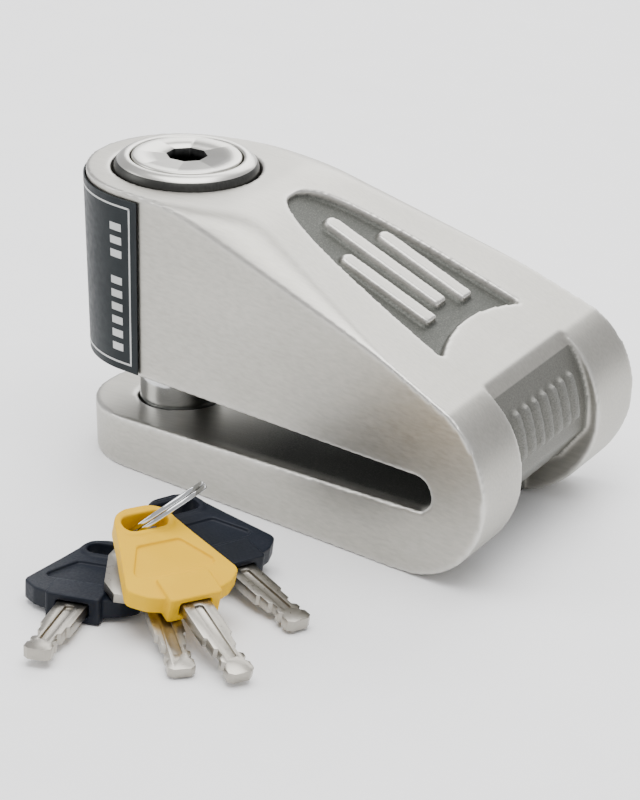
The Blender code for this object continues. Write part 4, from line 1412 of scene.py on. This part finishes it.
@dataclass
class Key:
    """One key: a moulded bow and a milled blade."""

    side: str
    slot: str
    length: float = 22.0 * MM
    half_width: float = 9.5 * MM
    thickness: float = 3.0 * MM
    collar_thickness: float = 4.4 * MM
    collar_length: float = 5.5 * MM
    collar_half: float = 4.4 * MM
    hole_x: float = -18.4 * MM
    hole_length: float = 7.6 * MM
    hole_width: float = 3.6 * MM
    blade_length: float = 16.0 * MM
    blade_thickness: float = 1.8 * MM
    blade_half: float = 2.35 * MM
    tang: float = 6.0 * MM
    rim: float = 1.5 * MM
    sunk: float = 0.5 * MM
    lip: float = 0.25 * MM
    lip_width: float = 0.9 * MM
    socket_gap: float = 0.25 * MM
    groove_half: float = 0.75 * MM
    groove_depth: float = 0.5 * MM
    blade_ease: float = 0.14 * MM
    cell: float = 0.16 * MM
    smoothing: int = 9
    kept_share: float = 0.5

    def bow_outline(self) -> Outline:
        """The bow's fan-shaped outline.

        Returns:
            The outline's points.
        """
        side = [
            (-self.length, 3.9 * MM, 3.6 * MM),
            (-14.5 * MM, 6.2 * MM, 5.0 * MM),
            (-4.6 * MM, self.half_width, 1.5 * MM),
            (-2.4 * MM, self.collar_half + 2.6 * MM, 1.2 * MM),
            (-1.2 * MM, self.collar_half - 0.4 * MM, 0.4 * MM),
        ]
        other = [(x, -y, radius) for x, y, radius in reversed(side)]
        return rounded(other + side)

    def hole_outline(self, grow: float) -> Outline:
        """The ring hole's outline, grown by a margin.

        Args:
            grow: The margin round the hole.

        Returns:
            The outline's points.
        """
        length, width = self.hole_length / 2 + grow, self.hole_width / 2 + grow
        ends = [(-width, -length), (width, -length), (width, length), (-width, length)]
        return rounded([(self.hole_x + x, y, width * 0.9) for x, y in ends])

    def bow_tools(self) -> list[tuple[Cut, Mesh]]:
        """The sunken panels, the lipped ring hole, the collar and the blade's socket.

        Returns:
            What each tool does, and its shape, in order.
        """
        half, collar = self.thickness / 2, self.collar_thickness / 2
        near, far, soft = -6.8 * MM, -13.6 * MM, 1.0 * MM
        panel = [(far, 3.6 * MM, soft), (near, self.half_width - self.rim - 0.6 * MM, soft)]
        panel = rounded([(x, -y, r) for x, y, r in reversed(panel)] + panel)
        steps = []
        for low, high in ((half - self.sunk, half + 1 * MM), (-half - 1 * MM, self.sunk - half)):
            steps.append((Cut.AWAY, prism(panel, low, high)))
        steps.append((Cut.ADD, prism(self.hole_outline(self.lip_width), -half - self.lip, half + self.lip)))
        corners = [(-self.collar_length, -self.collar_half), (0, -self.collar_half)]
        corners += [(0, self.collar_half), (-self.collar_length, self.collar_half)]
        block = rounded([(x, y, 0.5 * MM) for x, y in corners])
        steps.append((Cut.ADD, prism(block, -collar, collar)))
        steps.append((Cut.AWAY, prism(self.hole_outline(0.0), -4 * MM, 4 * MM)))
        wide, thick = self.blade_half + self.socket_gap, self.blade_thickness / 2 + self.socket_gap
        socket = Barrel.block((-self.tang - 0.3 * MM, -wide, -thick), (2 * MM, wide, thick))
        steps.append((Cut.AWAY, socket))
        return steps

    def bow(self, place: Matrix) -> Piece:
        """The moulded bow: a raised rim round a sunken panel, a lipped ring hole and a collar.

        Args:
            place: Where the key lies.

        Returns:
            The finished bow.
        """
        half = self.thickness / 2
        made = piece(f"{self.slot}_bow_{self.side}", prism(self.bow_outline(), -half, half))
        shape_with(made, self.bow_tools())
        soften(made, self.cell, self.smoothing, self.kept_share)
        made.data.transform(place)
        return made

    def blade_edge(self, root: float) -> Outline:
        """One edge of a blade, stepped by its cuts, as X and half width.

        Args:
            root: The X of its rear end.

        Returns:
            The edge's points, from the rear to the tip.
        """
        wide, tip = self.blade_half, self.blade_length
        steps = ((0.46, 1), (0.48, 0.8), (0.62, 0.8), (0.64, 0.55), (0.72, 0.55), (0.75, 0.85))
        steps += ((0.80, 0.85), (0.83, 0.6), (0.87, 0.9), (0.96, 0.9), (1, 0.55))
        return [(root, wide)] + [(tip * x, wide * y) for x, y in steps]

    def grooves(self) -> list[tuple[Cut, Mesh]]:
        """The channel milled down each side of a blade.

        Returns:
            A cut for each side.
        """
        half, depth, wide = self.blade_thickness / 2, self.groove_depth, self.groove_half
        first, last, round_end = 0.6 * MM, self.blade_length * 0.78, 0.5 * MM
        corners = [(first, -wide), (last, -wide), (last, wide), (first, wide)]
        way = rounded([(x, y, round_end) for x, y in corners], 4)
        return [
            (Cut.AWAY, prism(way, half - depth, half + 1 * MM)),
            (Cut.AWAY, prism(way, -half - 1 * MM, depth - half)),
        ]

    def blade(self, place: Matrix) -> Piece:
        """The milled blade with its tang.

        Args:
            place: Where the key lies.

        Returns:
            The finished blade.
        """
        edge = self.blade_edge(-self.tang)
        outline = [(x, -y) for x, y in edge] + list(reversed(edge))
        half = self.blade_thickness / 2
        made = piece(f"nickel_blade_{self.side}", prism(outline, -half, half))
        shape_with(made, self.grooves())
        ease_edges(made, self.blade_ease)
        made.data.transform(place)
        return made

    def make(self, finishes: Finishes) -> None:
        """Builds and dresses the key.

        Args:
            finishes: The materials.
        """
        nodes = (f"key_blade_{self.side}", f"key_bow_{self.side}")
        lie = Lie(nodes[0])
        if lie.along.dot(Lie(nodes[1]).middle - lie.middle) > 0:
            lie.along = -lie.along
        place = lie.place(self.blade_length)
        dress(self.bow(place), finishes, self.slot, "key_bunch", nodes[1])
        dress(self.blade(place), finishes, "nickel", "key_bunch", nodes[0])


@dataclass
class SpareKey(Key):
    """The bare metal key, in one piece."""

    plate_rear: float = -15.0 * MM
    plate_thickness: float = 1.6 * MM
    plate_hole: float = 2.4 * MM
    plate_hole_inset: float = 3.4 * MM
    plate_ease: float = 0.12 * MM

    def make(self, finishes: Finishes) -> None:
        """Builds and dresses the bare key.

        Args:
            finishes: The materials.
        """
        upper = [(self.plate_rear, 3.4 * MM), (self.plate_rear + 2 * MM, 5.2 * MM)]
        upper += [(-6.5 * MM, 7.2 * MM), (-3.2 * MM, 6.4 * MM)] + self.blade_edge(-1.6 * MM)
        outline = [(x, -y) for x, y in upper] + list(reversed(upper))
        half = self.plate_thickness / 2
        made = piece("bare_spare_key", prism(outline, -half, half))
        wide, reach = self.plate_hole, 3 * MM
        hole = turned([(0, -reach), (wide, -reach), (wide, reach), (0, reach)], 48)
        bmesh.ops.translate(hole, vec=(self.plate_rear + self.plate_hole_inset, 0, 0), verts=hole.verts)
        shape_with(made, [(Cut.AWAY, hole), *self.grooves()])
        ease_edges(made, self.plate_ease)
        lie = Lie("spare_key")
        if lie.along.z > 0:
            lie.along = -lie.along
        made.data.transform(lie.place(self.blade_length))
        dress(made, finishes, "nickel", "key_bunch", "spare_key")


@dataclass
class SplitRing:
    """The key ring: wire wound in two turns that lie on each other, with a short step between them."""

    radius: float = 7.4 * MM
    width: float = 0.8 * MM
    height: float = 0.78 * MM
    pitch: float = 0.8 * MM
    edge_round: float = 0.25 * MM
    join_angle: float = 150 * DEG
    steps_round: int = 120
    step_span: int = 6

    def make(self, finishes: Finishes) -> None:
        """Builds and dresses the ring where its CAD solid is.

        Args:
            finishes: The materials.
        """
        lie = Lie("split_ring")
        half, tall = self.width / 2, self.height / 2
        corners = [(-half, -tall), (half, -tall), (half, tall), (-half, tall)]
        section = rounded([(x, y, self.edge_round) for x, y in corners], 4)
        level = [0.0] * (self.steps_round - 2 * self.step_span)
        climb = [self.pitch / (2 * self.step_span)] * (2 * self.step_span)
        bm = wind(section, self.radius, FULL_TURN / self.steps_round, level + climb + level)
        stand = lie.out.to_track_quat("Z", "Y").to_matrix().to_4x4()
        place = Matrix.Translation(lie.middle) @ stand @ Matrix.Rotation(self.join_angle, 4, "Z")
        made = piece("split_ring_coil", bm, place @ Matrix.Translation((0, 0, -self.pitch / 2)))
        dress(made, finishes, "hard_chrome", "key_bunch", "split_ring")


# ---------------------------------------------------------------- the rest
def dress_inner_pieces(finishes: Finishes) -> None:
    """Gives each CAD node that still shows the finish of its own slot; the anti-drill disc takes the near-black
    painted keyhole shade instead.

    Args:
        finishes: The materials.
    """
    slots = {s["node"]: s["material_slot"] for s in frame["record"]["subparts"]}
    for name, node in frame["nodes"].items():
        if node.hide_render:
            continue
        node.data.materials.clear()
        # painted shade: the anti-drill disc, seen down the keyhole, is made near-black
        node.data.materials.append(finishes.keyhole_shade if name == "anti_drill_disc" else finishes.by_slot[slots[name]])
        LOG.info("%s keeps its CAD shape in %s", name, slots[name])


@dataclass(frozen=True)
class SoftLight:
    """A square soft light that looks at the lock."""

    name: str
    where: Point
    size: float
    power: float

    def make(self) -> None:
        """Adds the light to the scene."""
        data = bpy.data.lights.new(self.name, "AREA")
        data.shape, data.size, data.energy = "SQUARE", self.size, self.power
        made = bpy.data.objects.new(self.name, data)
        bpy.context.scene.collection.objects.link(made)
        made.location = self.where
        made.rotation_euler = (-Vector(self.where)).to_track_quat("-Z", "Y").to_euler()


@dataclass
class Studio:
    """The floor, the lights and the camera."""

    lights: tuple[SoftLight, ...] = (
        SoftLight("overhead_light", (0.1, -0.1, 1.1), 1.0, 18.0),
        SoftLight("back_light", (-0.25, 1.25, 0.8), 1.1, 17.0),
        SoftLight("left_light", (-1.0, -0.5, 0.5), 0.6, 5.0),
    )
    air: Colour = (0.97, 0.97, 1.0)
    air_strength: float = 0.8
    floor_half: float = 3.0
    floor_drop: float = 0.05 * MM
    eye: Point = (0.2905, -0.4939, 0.2542)
    azimuth: float = 28.14 * DEG
    elevation: float = 23.2 * DEG
    roll: float = 2.14 * DEG
    lens: float = 166.9
    sensor: float = 36.0
    sight: Span = (0.01, 20.0)

    def floor(self, finishes: Finishes) -> None:
        """A plain pale floor, just under the lock.

        Args:
            finishes: The materials.
        """
        bm = bmesh.new()
        bmesh.ops.create_grid(bm, x_segments=1, y_segments=1, size=self.floor_half)
        made = piece("studio_floor", bm, Matrix.Translation((0, 0, -self.floor_drop)))
        made.data.materials.append(finishes.backdrop)

    def build(self, finishes: Finishes) -> None:
        """Sets up the whole studio.

        Args:
            finishes: The materials.
        """
        self.floor(finishes)
        for light in self.lights:
            light.make()
        world = bpy.data.worlds.new("studio_air")
        world.use_nodes = True
        background = world.node_tree.nodes["Background"]
        background.inputs["Color"].default_value = (*self.air, 1.0)
        background.inputs["Strength"].default_value = self.air_strength
        bpy.context.scene.world = world
        self.camera()

    def camera(self) -> None:
        """A long lens, looking down from the front left."""
        sin_a, cos_a = math.sin(self.azimuth), math.cos(self.azimuth)
        level = math.cos(self.elevation)
        back = Vector((sin_a * level, -cos_a * level, math.sin(self.elevation)))
        right = Vector((cos_a, sin_a, 0))
        up = back.cross(right)
        across = right * math.cos(self.roll) + up * math.sin(self.roll)
        upward = up * math.cos(self.roll) - right * math.sin(self.roll)
        data = bpy.data.cameras.new("camera")
        data.sensor_fit, data.sensor_width, data.lens = "AUTO", self.sensor, self.lens
        data.clip_start, data.clip_end = self.sight
        made = bpy.data.objects.new("camera", data)
        bpy.context.scene.collection.objects.link(made)
        turn = Matrix((across, upward, back)).transposed()
        made.matrix_world = Matrix.Translation(Vector(self.eye)) @ turn.to_4x4()
        bpy.context.scene.camera = made


def main() -> None:
    """Builds each sub-assembly in order, then the studio."""
    logging.basicConfig(level=logging.INFO, format="%(name)s: %(message)s")
    finishes = Finishes()
    barrel_low, barrel_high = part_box("lock_barrel")
    body_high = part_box("lock_body")[1]
    spring_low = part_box("return_spring")[0]
    plug_low, plug_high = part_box("plug")
    pin_low, pin_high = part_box("locking_pin")
    seal_low, seal_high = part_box("seal_ring")
    LockBody(
        height=body_high.z,
        nose_x=body_high.x,
        bore_radius=barrel_high.x + 0.4 * MM,
        bore_floor=spring_low.z - 0.3 * MM,
    ).make(finishes)
    Barrel(
        radius=barrel_high.x,
        top=barrel_high.z,
        bottom=barrel_low.z,
        plug_radius=plug_high.x,
        seal_height=(seal_low.z + seal_high.z) / 2,
        pin_tip=pin_low.z,
        head_radius=pin_high.x,
        head_top=pin_high.z,
        chamber_top=plug_low.z,
    ).make(finishes)
    Plug(radius=plug_high.x, top=plug_high.z, bottom=plug_low.z).make(finishes)
    Springs().make(finishes)
    for side, slot in (("left", "black_plastic"), ("right", "black_plastic"), ("front", "yellow_plastic")):
        Key(side, slot).make(finishes)
    SpareKey("spare", "nickel").make(finishes)
    SplitRing().make(finishes)
    dress_inner_pieces(finishes)
    Studio().build(finishes)


if __name__ == "__main__":
    main()
